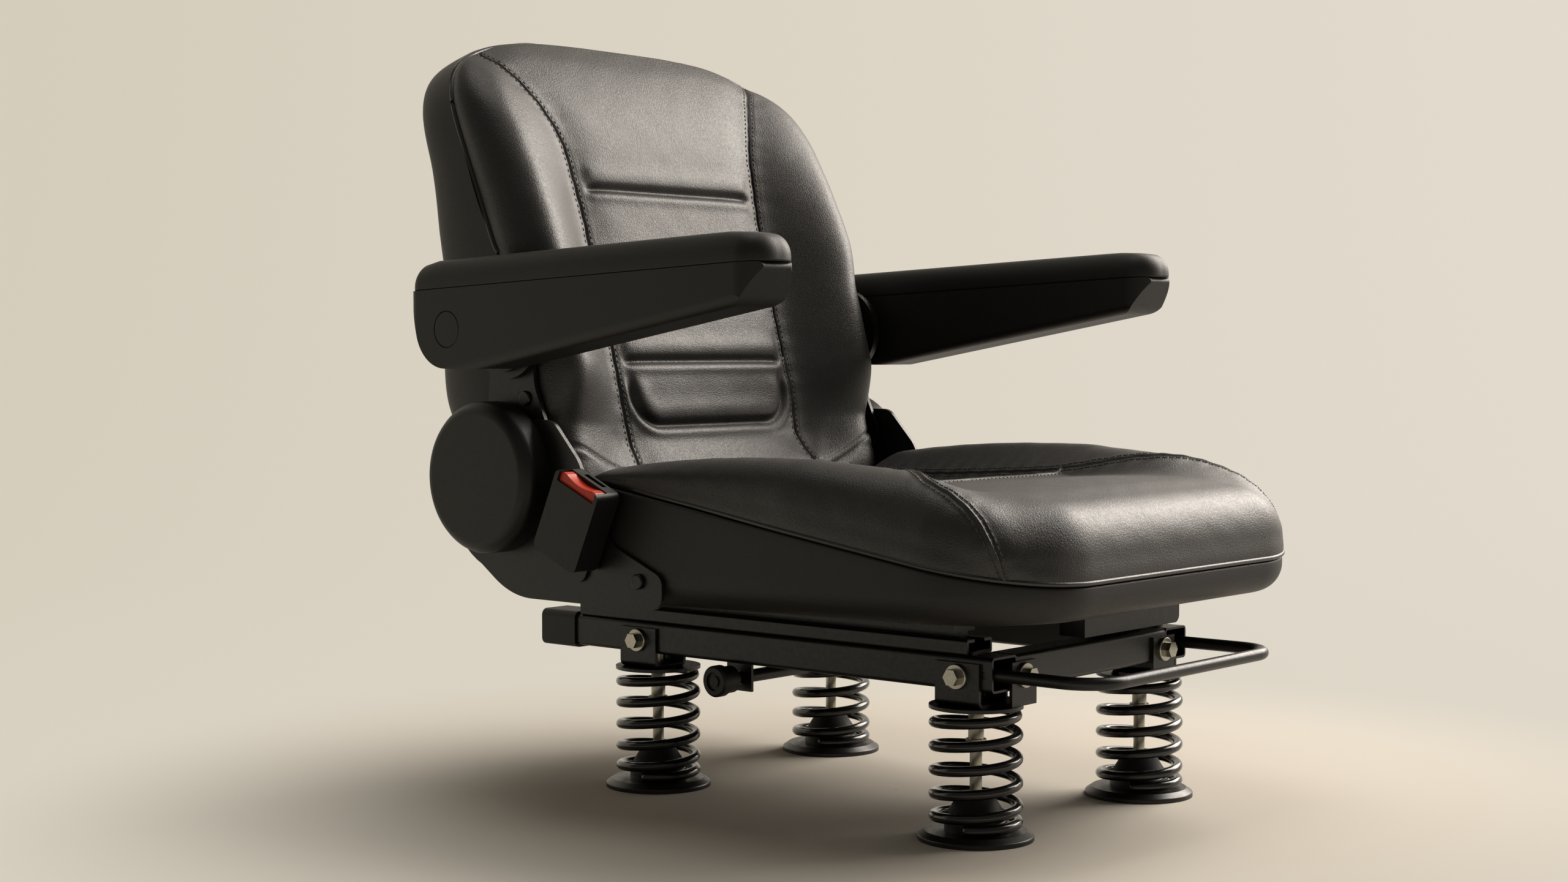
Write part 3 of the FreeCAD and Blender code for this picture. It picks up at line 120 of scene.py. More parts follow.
def spline(points: list[tuple[float, ...]], count: int) -> Array:
    """Smooth curve through points: cubic Hermite spans whose slopes are those of the chords on both sides.

    Args:
        points: places that the curve passes through.
        count: how many samples to return, evenly spaced along the curve.

    Returns:
        Array of count places.
    """
    knots = np.asarray(points, float)
    steps = run_along(knots)
    slopes = np.gradient(knots, steps, axis=0)
    t = np.linspace(0.0, steps[-1], 24 * len(knots))
    i = np.clip(np.searchsorted(steps, t, side="right") - 1, 0, len(knots) - 2)
    span = (steps[i + 1] - steps[i])[:, None]
    w = ((t - steps[i])[:, None]) / span
    curve = (
        (2 * w ** 3 - 3 * w ** 2 + 1) * knots[i] + (w ** 3 - 2 * w ** 2 + w) * span * slopes[i]
        + (3 * w ** 2 - 2 * w ** 3) * knots[i + 1] + (w ** 3 - w ** 2) * span * slopes[i + 1]
    )
    return resample(curve, np.linspace(0.0, 1.0, count))


def resample(curve: Array, shares: Array) -> Array:
    """Places at given shares of a curve's length, on straight lines between its samples.

    Args:
        curve: samples of the curve.
        shares: shares of its length, from 0 to 1.

    Returns:
        One place for each share.
    """
    run = run_along(curve)
    at = np.asarray(shares) * run[-1]
    return np.stack([np.interp(at, run, curve[:, k]) for k in range(curve.shape[1])], axis=1)


def gathered(count: int, strength: float = 0.8) -> Array:
    """Shares from 0 to 1 that lie closer together at both ends: t less a sine wave of one period."""
    t = np.linspace(0.0, 1.0, count)
    return t - strength * np.sin(2 * math.pi * t) / (2 * math.pi)


def drawn_to(count: int, places: list[float], width: float, weight: float) -> Array:
    """Shares from 0 to 1 that lie closer together near places, from a density with a bump at each.

    Args:
        count: how many shares.
        places: shares to gather at.
        width: width of each bump.
        weight: its height over the plain density of 1.

    Returns:
        Array of count shares.
    """
    t = np.linspace(0.0, 1.0, 2000)
    density = np.ones_like(t)
    for place in places:
        density += weight * bell(t - place, width)
    total = np.concatenate([[0.0], np.cumsum(0.5 * (density[1:] + density[:-1]))])
    return np.interp(np.linspace(0.0, total[-1], count), total, t)


def coons(inner: Array, outer: Array, near: Array, far: Array) -> Array:
    """Fill between four edges: both ruled fills added, less the bilinear fill of the corners.

    Args:
        inner, outer: the edges along the rows, of the same count.
        near, far: the edges along the columns, from inner to outer, of the same count.

    Returns:
        Grid of places, rows by columns.
    """
    v = np.linspace(0.0, 1.0, len(inner))[:, None, None]
    w = np.linspace(0.0, 1.0, len(near))[None, :, None]
    ruled = (1 - w) * inner[:, None] + w * outer[:, None] + (1 - v) * near[None] + v * far[None]
    corners = (
        (1 - v) * (1 - w) * inner[0] + (1 - v) * w * outer[0] + v * (1 - w) * inner[-1] + v * w * outer[-1]
    )
    return ruled - corners


def grid_faces(rows: int, columns: int, first: int = 0, ring: bool = False) -> Array:
    """Quads of a grid of vertices, row after row.

    Args:
        rows, columns: size of the grid.
        first: number of its first vertex.
        ring: whether the last column joins the first.

    Returns:
        Four vertex numbers for each quad.
    """
    i = np.arange(rows - 1)[:, None]
    j = np.arange(columns if ring else columns - 1)[None, :]
    k = (j + 1) % columns
    here, after = i * columns, (i + 1) * columns
    return first + np.stack([here + j, here + k, after + k, after + j], axis=-1).reshape(-1, 4)


def mesh_piece(name: str, vertices: Array, faces: list, weld: float = 0.0) -> Piece:
    """Put arrays into a smooth mesh object at the origin.

    Args:
        name: the piece's name.
        vertices: places in millimetres.
        faces: vertex numbers of each face.
        weld: distance in millimetres below which vertices become one.

    Returns:
        The new object, its faces turned outwards where it is welded.
    """
    mesh = bpy.data.meshes.new(name)
    mesh.from_pydata((np.asarray(vertices, float) * MM).tolist(), [], faces)
    if weld > 0.0:
        work = bmesh.new()
        work.from_mesh(mesh)
        bmesh.ops.remove_doubles(work, verts=work.verts, dist=weld * MM)
        bmesh.ops.recalc_face_normals(work, faces=work.faces)
        work.to_mesh(mesh)
        work.free()
    mesh.polygons.foreach_set("use_smooth", np.ones(len(mesh.polygons), bool))
    mesh.update()
    piece = bpy.data.objects.new(name, mesh)
    bpy.context.scene.collection.objects.link(piece)
    return piece


def round_frame(ahead: Array) -> tuple[Array, Array]:
    """Two directions square to each direction ahead, from cross products with the world's up.

    Args:
        ahead: unit directions.

    Returns:
        Unit directions across, level where the way ahead isn't steep, and unit directions over.
    """
    up = np.where(np.abs(ahead[:, 2:]) > 0.9, [[0.0, 1.0, 0.0]], [[0.0, 0.0, 1.0]])
    across = unit(np.cross(ahead, up))
    return across, np.cross(across, ahead)


def tube(path: Array, radius: float, sides: int) -> tuple[Array, list]:
    """Round profile carried along a path, its frame turned from the world's up at each place.

    Args:
        path: places in millimetres.
        radius: radius of the profile.
        sides: corners of the round profile.

    Returns:
        Vertices in millimetres and faces.
    """
    across, over = round_frame(unit(np.gradient(path, axis=0)))
    turn = np.linspace(0.0, 2 * math.pi, sides, endpoint=False)[None, :, None]
    rings = path[:, None] + radius * (np.cos(turn) * across[:, None] + np.sin(turn) * over[:, None])
    last = (len(path) - 1) * sides
    faces = grid_faces(len(path), sides, ring=True).tolist()
    faces += [list(range(sides))[::-1], list(range(last, last + sides))]
    return rings.reshape(-1, 3), faces


def rounded_plan(
    half: float, ends: Pair, corners: Pair, inset: float, arc: int, run: int
) -> Array:
    """Plan of a rounded oblong drawn in by an inset: four corner arcs joined by straight runs.

    Args:
        half: half its width.
        ends: its front and rear along the length.
        corners: radius of its front and of its rear corners.
        inset: distance that it is drawn in.
        arc: places on each corner.
        run: places on each straight run, with both of its ends.

    Returns:
        Closed ring of places, anticlockwise from the left end of the front.
    """
    spots = []
    for end, across, start in ((0, -1, 180.0), (0, 1, 270.0), (1, 1, 0.0), (1, -1, 90.0)):
        kept = max(corners[end] - inset, 0.2)
        turn = np.radians(np.linspace(start, start + 90.0, arc))
        inward = 1.0 if end == 0 else -1.0
        centre = np.array([across * (half - inset - kept), ends[end] + inward * (inset + kept)])
        spots.append(centre + kept * np.stack([np.cos(turn), np.sin(turn)], axis=1))
    runs = []
    for here, after in zip(spots, spots[1:] + spots[:1]):
        step = np.linspace(0.0, 1.0, run)[1:-1, None]
        runs += [here, here[-1] + (after[0] - here[-1]) * step]
    return np.concatenate(runs)


class Pattern(Enum):
    """Surface that a making process leaves."""

    LEATHER_GRAIN = "pressed leather grain with soft folds"
    SPARK_GRAIN = "fine spark-eroded mould grain"
    ORANGE_PEEL = "powder coat that flowed in the oven"
    ZINC_BLOOM = "plated zinc with a passivated bloom"
    SMOOTH_MOULD = "polished mould face"


def node_output(
    tree: bpy.types.NodeTree, kind: str, output: str | int,
    settings: dict | None = None, links: dict | None = None,
) -> bpy.types.NodeSocket:
    """Add a shader node, set its properties or inputs, and link its inputs.

    Args:
        tree: node tree to add to.
        kind: Blender's name of the node, without its prefix.
        output: name or number of the output that is wanted.
        settings: values by property name, input name or input number.
        links: output sockets by input name or number.

    Returns:
        The wanted output.
    """
    node = tree.nodes.new(f"ShaderNode{kind}")
    for key, value in (settings or {}).items():
        if isinstance(key, int) or key in node.inputs:
            node.inputs[key].default_value = value
        else:
            setattr(node, key, value)
    for key, socket in (links or {}).items():
        tree.links.new(socket, node.inputs[key])
    return node.outputs[output]


@dataclass(frozen=True)
class Finish:
    """A real material and how its surface was made."""

    name: str
    base: str
    shade: str
    roughness: Pair
    pattern: Pattern
    grain_mm: float
    depth_mm: float
    cloud_mm: float = 60.0
    metallic: float = 0.0
    ior: float = 1.5
    coat: float = 0.0
    coat_roughness: float = 0.12
    sheen: float = 0.0
    sheen_roughness: float = 0.45
    specular: float = 0.5
    fold_mm: float = 15.0
    fold_depth_mm: float = 0.14

    def material(self) -> bpy.types.Material:
        """Build the node material: clouded colour and gloss, and a bump from the surface's own pattern.

        Returns:
            The material, on Object coordinates in metres.
        """
        made = bpy.data.materials.new(self.name)
        made.use_nodes = True
        tree = made.node_tree
        where = node_output(tree, "TexCoord", "Object")
        blotches = {"Scale": 1.0 / (self.cloud_mm * MM), "Detail": 5.0, "Roughness": 0.6}
        cloud = node_output(tree, "TexNoise", "Fac", blotches, {"Vector": where})
        colours = {"data_type": "RGBA", 6: linear(self.base), 7: linear(self.shade)}
        grain = {"Scale": 1.0 / (self.grain_mm * MM), "Detail": 3.0, "Roughness": 0.55}
        fine = node_output(tree, "TexNoise", "Fac", grain, {"Vector": where})
        low, high = self.roughness
        gloss = {"From Min": 0.3, "From Max": 0.7, "To Min": low, "To Max": high}
        shader = tree.nodes["Principled BSDF"]
        for name, socket in (
            ("Base Color", node_output(tree, "Mix", 2, colours, {0: cloud})),
            ("Roughness", node_output(tree, "MapRange", "Result", gloss, {"Value": fine})),
            ("Normal", self.bump(tree, where, fine)),
        ):
            tree.links.new(socket, shader.inputs[name])
        for name, value in (
            ("Metallic", self.metallic), ("IOR", self.ior), ("Specular IOR Level", self.specular),
            ("Coat Weight", self.coat), ("Coat Roughness", self.coat_roughness),
            ("Sheen Weight", self.sheen), ("Sheen Roughness", self.sheen_roughness),
        ):
            shader.inputs[name].default_value = value
        made.diffuse_color = linear(self.base)
        return made

    def bump(
        self, tree: bpy.types.NodeTree, where: bpy.types.NodeSocket, fine: bpy.types.NodeSocket
    ) -> bpy.types.NodeSocket:
        """Relief of the surface: folds under cells for leather grain, and fine noise for the rest.

        Args:
            tree: node tree to add to.
            where: Object coordinates.
            fine: noise at the grain's own scale.

        Returns:
            Normal socket.
        """
        relief = {"Strength": 1.0, "Distance": self.depth_mm * MM}
        if self.pattern is not Pattern.LEATHER_GRAIN:
            return node_output(tree, "Bump", "Normal", relief, {"Height": fine})
        grain = {"feature": "DISTANCE_TO_EDGE", "Scale": 1.0 / (self.grain_mm * MM)}
        cells = node_output(tree, "TexVoronoi", "Distance", grain, {"Vector": where})
        pores = node_output(tree, "MapRange", "Result", {"From Max": 0.25}, {"Value": cells})
        drawn = node_output(tree, "Mapping", "Vector", {"Scale": (1.0, 0.45, 1.0)}, {"Vector": where})
        creases = {
            "Scale": 1.0 / (self.fold_mm * MM), "Detail": 5.0, "Roughness": 0.6, "Distortion": 0.6,
        }
        folds = node_output(tree, "TexNoise", "Fac", creases, {"Vector": drawn})
        folded = {"Strength": 1.0, "Distance": self.fold_depth_mm * MM}
        soft = node_output(tree, "Bump", "Normal", folded, {"Height": folds})
        return node_output(tree, "Bump", "Normal", relief, {"Height": pores, "Normal": soft})


class Finishes(Enum):
    """The seat's finishes."""

    # Calendered PVC leathercloth: soft satin with a faint sheen, a pressed grain and a warm tone that clouds
    # at random.
    # Its 1.5 mm grain is drawn at 2.4 mm, so that it shows in the render.
    LEATHERCLOTH = Finish(
        "pvc_leathercloth_calendered", "#13110f", "#1d1a17", (0.42, 0.54), Pattern.LEATHER_GRAIN, 2.4, 0.10,
        cloud_mm=45.0, sheen=0.02, specular=0.68, fold_depth_mm=0.2,
    )
    # Welt of the same cloth drawn round a cord: tighter, so smoother and glossier.
    WELT = Finish(
        "pvc_welt_drawn", "#141211", "#1c1917", (0.3, 0.4), Pattern.LEATHER_GRAIN, 1.6, 0.05, cloud_mm=20.0,
        specular=0.7, fold_mm=9.0, fold_depth_mm=0.1,
    )
    # Bonded polyester thread: matt, a shade lighter than the cloth.
    THREAD = Finish(
        "polyester_thread_bonded", "#37322d", "#4a443d", (0.45, 0.6), Pattern.SMOOTH_MOULD, 0.6, 0.05,
    )
    # Polypropylene, injection moulded on a spark-eroded tool: dull black with a fine even grain.
    POLYPROPYLENE = Finish(
        "polypropylene_spark_grain", "#141311", "#1b1917", (0.44, 0.56), Pattern.SPARK_GRAIN, 1.3, 0.08,
        cloud_mm=90.0, specular=0.42,
    )
    # Integral-skin polyurethane foam: soft matt black with a leathery skin.
    SKIN_FOAM = Finish(
        "polyurethane_integral_skin", "#151412", "#1c1a17", (0.46, 0.58), Pattern.SPARK_GRAIN, 1.1, 0.14,
        cloud_mm=50.0, specular=0.42,
    )
    # Mild steel with a baked powder coat: satin black that flowed into a faint orange peel.
    POWDER_COAT = Finish(
        "steel_powder_coated", "#0f0e0d", "#161413", (0.30, 0.42), Pattern.ORANGE_PEEL, 3.0, 0.05,
        cloud_mm=80.0, specular=0.45,
    )
    # Spring wire dipped in gloss black enamel.
    SPRING_ENAMEL = Finish(
        "spring_wire_enamelled", "#0d0d0d", "#141312", (0.16, 0.24), Pattern.ORANGE_PEEL, 4.0, 0.03,
        coat=0.3,
    )
    # Steel plated with zinc and passivated: pale grey metal with a straw tinge.
    ZINC = Finish(
        "steel_zinc_plated", "#bcb9b0", "#aaa593", (0.26, 0.42), Pattern.ZINC_BLOOM, 1.2, 0.02, cloud_mm=7.0,
        metallic=1.0,
    )
    # Moulded rubber: dull and close to black.
    RUBBER = Finish(
        "rubber_moulded", "#151413", "#1c1a18", (0.62, 0.75), Pattern.SPARK_GRAIN, 1.5, 0.08,
    )
    # Orange-red ABS from a polished mould.
    BUTTON_ABS = Finish(
        "abs_polished_red", "#d8351a", "#e2431f", (0.30, 0.38), Pattern.SMOOTH_MOULD, 2.0, 0.02,
        cloud_mm=18.0,
    )


def dress(piece: Piece, finish: bpy.types.Material) -> None:
    """Give a piece or a CAD node one finish in all its material slots."""
    piece.data.materials.clear()
    piece.data.materials.append(finish)


@dataclass(frozen=True)
class Roll:
    """Rounded edge of a stuffed cover, from its face over the edge and back under to the welt.

    The profile is a superellipse of reach by depth, run on past its widest point by tuck degrees.
    """

    reach: float
    depth: float
    power: float
    tuck: float

    def table(self) -> tuple[Array, Array, Array]:
        """Work out the profile.

        Returns:
            Length of cover, distance outwards, and share of the height left, at each sample.
        """
        angle = np.linspace(0.0, math.radians(90.0 + self.tuck), 400)
        out = self.reach * np.abs(np.sin(angle)) ** (2 / self.power)
        up = np.sign(np.cos(angle)) * np.abs(np.cos(angle)) ** (2 / self.power)
        lift = (up - up[-1]) / (1.0 - up[-1])
        run = np.hypot(np.diff(out), self.depth * np.diff(lift))
        return np.concatenate([[0.0], np.cumsum(run)]), out, lift

    def length(self) -> float:
        """Length of cover round the whole roll."""
        return float(self.table()[0][-1])


@dataclass(frozen=True)
class Sewing:
    """Stuffing, seams, folds and thread of a cover, in millimetres.

    The waves over_p and over_q make the folds all over, and drawn_q those at the seam. Each is a rate, a
    sway and a slow rate. The fade is the share of the roll's height over which all of it dies out.
    """

    puff: float
    puff_width: float
    sink: float
    groove: float
    row: float
    row_at: float
    row_width: float
    over_p: tuple[float, float, float]
    over_q: tuple[float, float, float]
    drawn: float
    drawn_width: float
    drawn_q: tuple[float, float, float]
    pitch: float
    length: float
    thread: float
    groove_width: float = 2.0
    fold: float = 0.14
    fade: float = 0.35

    def stuffing(self, near: Array) -> Array:
        """Swell of the cover with the distance from its seams."""
        return self.puff * (1.0 - bell(near, self.puff_width)) - self.sink

    def sewn(self, near: Array, beside: Array) -> Array:
        """Groove of a seam, and the shallower rows of thread beside it."""
        groove = self.groove * bell(near, self.groove_width)
        return -groove - self.row * bell(beside - self.row_at, self.row_width)

    def folds(self, seam: Array, p: Array, q: Array) -> Array:
        """Faint folds: two waves multiplied all over, and one along the seam that fades away from it."""
        over = self.fold * wave(p, q, *self.over_p) * wave(q, p, *self.over_q)
        return over + self.drawn * bell(seam, self.drawn_width) * wave(q, p, *self.drawn_q)


@dataclass
class SewnCover:
    """Cover of a stuffed cushion, worked out on its flat pattern.

    The pattern has a sideways coordinate p and a lengthwise coordinate q in millimetres. Over the face they
    are the cushion's plan. Past the start of the roll they go on as length of cover round the edge.
    """

    corner: Pair
    radius: Pair
    power: float
    roll: Roll
    bulge: float
    sewing: Sewing

    def __post_init__(self) -> None:
        """Keep the roll's profile and the pattern's outer limits."""
        self.arc, self.out, self.lift = self.roll.table()
        self.start = self.bulge - self.roll.reach
        self.limit = self.start + self.roll.length()
        self.edge = self.corner[0] + self.radius[0] + self.limit

    def rolled(self, p: Array, q: Array) -> tuple[Array, Array, Array]:
        """Fold the pattern's margin over the roll.

        Along each ray from the corner's centre, the length past the roll's start is laid on its profile.

        Args:
            p, q: places on the pattern.

        Returns:
            Plan coordinates of both directions, and the share of height left.
        """
        a = np.maximum(np.abs(p) - self.corner[0], 0.0)
        b = np.maximum(q - self.corner[1], 0.0)
        far = np.maximum(np.hypot(a, b), 1e-6)
        rim = far / np.maximum(self.corner_share(a, b), 1e-9)
        arc = far - rim - self.start
        laid = np.where(arc > 0.0, rim + self.start + np.interp(arc, self.arc, self.out), far)
        x = np.sign(p) * (np.minimum(np.abs(p), self.corner[0]) + a * laid / far)
        along = np.minimum(q, self.corner[1]) + b * laid / far
        return x, along, np.interp(arc, self.arc, self.lift)

    def corner_share(self, a: Array, b: Array) -> Array:
        """Share of the way to the corner's superellipse at which a place off its centre lies."""
        sum_of_powers = (a / self.radius[0]) ** self.power + (b / self.radius[1]) ** self.power
        return sum_of_powers ** (1 / self.power)

    def rim_place(self, turn: Array) -> Array:
        """Places on the pattern's outer limit round the corner, by angle in radians from sideways.

        Args:
            turn: angles.

        Returns:
            One place for each angle.
        """
        a, b = np.cos(turn), np.sin(turn)
        far = 1.0 / self.corner_share(a, b) + self.limit
        return np.stack([self.corner[0] + a * far, self.corner[1] + b * far], axis=1)

    def rim_turn(self, p: float, q: float) -> float:
        """Angle round the corner at which a place on the pattern lies."""
        return math.atan2(q - self.corner[1], p - self.corner[0])

    def place(self, p: Array, q: Array) -> Array:
        """Places in the frame of the unsewn, smooth cover."""
        raise NotImplementedError

    def relief(self, p: Array, q: Array) -> Array:
        """Height of stuffing and seams over the smooth cover."""
        raise NotImplementedError

    def normal(self, p: Array, q: Array) -> Array:
        """Outward direction of the smooth cover, from the cross product of its two slopes.

        Args:
            p, q: places on the pattern.

        Returns:
            Unit directions.
        """
        step = 0.4
        by_p = self.place(p + step, q) - self.place(p - step, q)
        by_q = self.place(p, q + step) - self.place(p, q - step)
        across = np.cross(by_p, by_q)
        length = np.maximum(np.linalg.norm(across, axis=-1, keepdims=True), 1e-9)
        return across / length

    def surface(self, p: Array, q: Array) -> Array:
        """Places on the finished cover."""
        return self.place(p, q) + self.normal(p, q) * self.relief(p, q)[..., None]

    def seam_distance(self, p: Array, q: Array, seam: Array) -> Array:
        """Distance on the pattern to a seam, which is mirrored about the middle.

        Args:
            p, q: places on the pattern.
            seam: samples of the seam on the right half.

        Returns:
            Distance of each place from the nearest sample.
        """
        flat = np.stack([np.abs(p).ravel(), q.ravel()], axis=1)
        near = np.full(len(flat), 1e9)
        for spot in seam:
            near = np.minimum(near, np.hypot(flat[:, 0] - spot[0], flat[:, 1] - spot[1]))
        return near.reshape(p.shape)

    def rows(
        self, count: int, across: int, marks: list[float], draw: Pair, ends: Pair
    ) -> tuple[Array, Array]:
        """Share out the rows of the panels, closer together at marks along the middle line.

        Args:
            count: rows along the side run of the seam.
            across: rows along the rest of the seam.
            marks: places along the middle line.
            draw: width and weight of the gathering at each mark.
            ends: places along the middle line of the first row and of the seam's split.

        Returns:
            Shares of the seam's side run, and places along the middle line for all rows.
        """
        run = run_along(self.seam)[:self.split + 1]
        spots = [run[np.argmin(np.abs(self.seam[:self.split, 1] - mark))] / run[-1] for mark in marks]
        shares = drawn_to(count, spots, *draw)
        along = np.concatenate([shares, 1.0 + gathered(across, 0.5)[1:]])
        head = self.corner[1] + self.radius[1] + self.limit
        levels = [ends[0], *sorted(marks), ends[1], head]
        return shares, np.interp(along, [0.0, *sorted(spots), 1.0, 2.0], levels)

    def side_panel(self, near: Array, shares: Array) -> tuple[Array, Array, Array]:
        """Fill between the seam and the rim on the right half of the pattern.

        Args:
            near: low edge of the panel, from the seam to the rim.
            shares: shares of the seam's side run at which the rows lie.

        Returns:
            Grid of the panel, and its rows' places on the whole seam and on the rim.
        """
        inner = resample(self.seam[:self.split + 1], shares)
        front = resample(self.seam[self.split:], gathered(len(near), 0.5))
        side = np.stack([np.full(200, self.edge), np.linspace(near[-1, 1], self.corner[1], 200)], axis=1)
        corner = self.rim_place(np.linspace(0.0, self.tip_turn, 60))
        outer = resample(np.concatenate([side, corner[1:]]), shares)
        return coons(inner, outer, near, front), np.concatenate([inner, front[1:]]), outer

    def middle_panel(
        self, spine_q: Array, seam: Array, half: int, arc: int
    ) -> tuple[Array, Array, Array]:
        """Fill between the middle line and the seam on the right half of the pattern.

        Args:
            spine_q: places along the middle line.
            seam: places on the seam, from the tail to the rim.
            half: count of columns.
            arc: count of places round the head, before they are shared out.

        Returns:
            Grid of the panel, and its edges at the tail and at the head.
        """
        spine = np.stack([np.zeros_like(spine_q), spine_q], axis=1)
        head_arc = self.rim_place(np.linspace(math.pi / 2, self.tip_turn, arc))
        straight = spine[-1:] if self.corner[0] > 0.0 else spine[:0]
        head = resample(np.concatenate([straight, head_arc]), gathered(half))
        tail = np.stack([seam[0, 0] * gathered(half), np.full(half, seam[0, 1])], axis=1)
        return coons(spine, seam, tail, head), tail, head

    def build(
        self, name: str, patches: list[Array], loop: Array, heart: Array
    ) -> Piece:
        """Make the closed mesh: each patch and its mirror image, and an underside from the rim to a heart.

        Args:
            name: the piece's name.
            patches: grids of places on the right half of the pattern.
            loop: pattern places of the right half of the rim, from the tail to the middle of the head.
            heart: place of the middle of the hidden underside.

        Returns:
            The cover.
        """
        vertices, faces, first = [], [], 0
        for patch in patches:
            for side in (1.0, -1.0):
                spots = self.surface(side * patch[..., 0], patch[..., 1])
                vertices.append(spots.reshape(-1, 3))
                faces += grid_faces(*spots.shape[:2], first).tolist()
                first += spots.shape[0] * spots.shape[1]
        whole = np.concatenate([loop, (loop * [-1.0, 1.0])[::-1]])
        rim = self.surface(whole[:, 0], whole[:, 1])
        tray = rim + (heart - rim) * 0.12
        spots = np.stack([rim, tray, heart + (rim - heart) * 0.01])
        vertices.append(spots.reshape(-1, 3))
        faces += grid_faces(3, len(whole), first, ring=True).tolist()
        faces.append(list(range(first + 2 * len(whole), first + 3 * len(whole))))
        return mesh_piece(name, np.concatenate(vertices), faces, weld=0.05)

    def welt(self, name: str, rim: Array, rise: float, cord: float, sides: int) -> Piece:
        """Make the welt: a cord along both halves of the rim.

        Args:
            name: the piece's name.
            rim: pattern places of the right half of the rim.
            rise: height of the cord over the rim.
            cord: its radius.
            sides: corners of its round section.

        Returns:
            The piece.
        """
        both = np.concatenate([rim, (rim * [-1.0, 1.0])[::-1][1:]])
        path = self.place(both[:, 0], both[:, 1]) + [0.0, 0.0, rise]
        return mesh_piece(name, *tube(path, cord, sides))

    def stitch_row(self, seam: Array, offset: float) -> Array:
        """Stitches of one row beside a seam, on both sides of the middle.

        Args:
            seam: the seam on the pattern's right half.
            offset: distance of the row from the seam.

        Returns:
            Array of stitches by five places along each.
        """
        ahead = unit(np.gradient(seam, axis=0))
        row = seam + offset * np.stack([ahead[:, 1], -ahead[:, 0]], axis=1)
        run = run_along(row)
        pitch = self.sewing.pitch
        starts = np.arange(pitch, run[-1] - pitch, pitch)
        at = starts[:, None] + np.linspace(0.0, self.sewing.length, 5)[None, :]
        p = np.interp(at, run, row[:, 0])
        q = np.interp(at, run, row[:, 1])
        proud = np.array([-0.5, 0.25, 0.4, 0.25, -0.5])[None, :, None]
        return np.concatenate([self.surface(s * p, q) + self.normal(s * p, q) * proud for s in (1.0, -1.0)])

    def stitches(self, name: str, seams: list[Array]) -> Piece:
        """Make all stitches as one mesh: each a short round thread that dives in at both ends.

        Args:
            name: the piece's name.
            seams: seams on the pattern's right half, each with a row on both of its sides.

        Returns:
            The piece.
        """
        beside, sides = self.sewing.row_at, 6
        spots = np.concatenate([self.stitch_row(seam, off) for seam in seams for off in (-beside, beside)])
        across, over = round_frame(unit(spots[:, -1] - spots[:, 0]))
        turn = np.linspace(0.0, 2 * math.pi, sides, endpoint=False)
        thick = self.sewing.thread * np.array([0.45, 0.95, 1.0, 0.95, 0.45])
        ring = np.cos(turn)[:, None] * across[:, None] + np.sin(turn)[:, None] * over[:, None]
        body = spots[:, :, None] + thick[None, :, None, None] * ring[:, None]
        first = np.arange(len(spots))[:, None, None] * 5 * sides
        faces = (grid_faces(5, sides, ring=True)[None] + first).reshape(-1, 4).tolist()
        ends = np.stack([np.arange(sides)[::-1], 4 * sides + np.arange(sides)])
        faces += (ends[None] + first).reshape(-1, sides).tolist()
        return mesh_piece(name, body.reshape(-1, 3), faces)


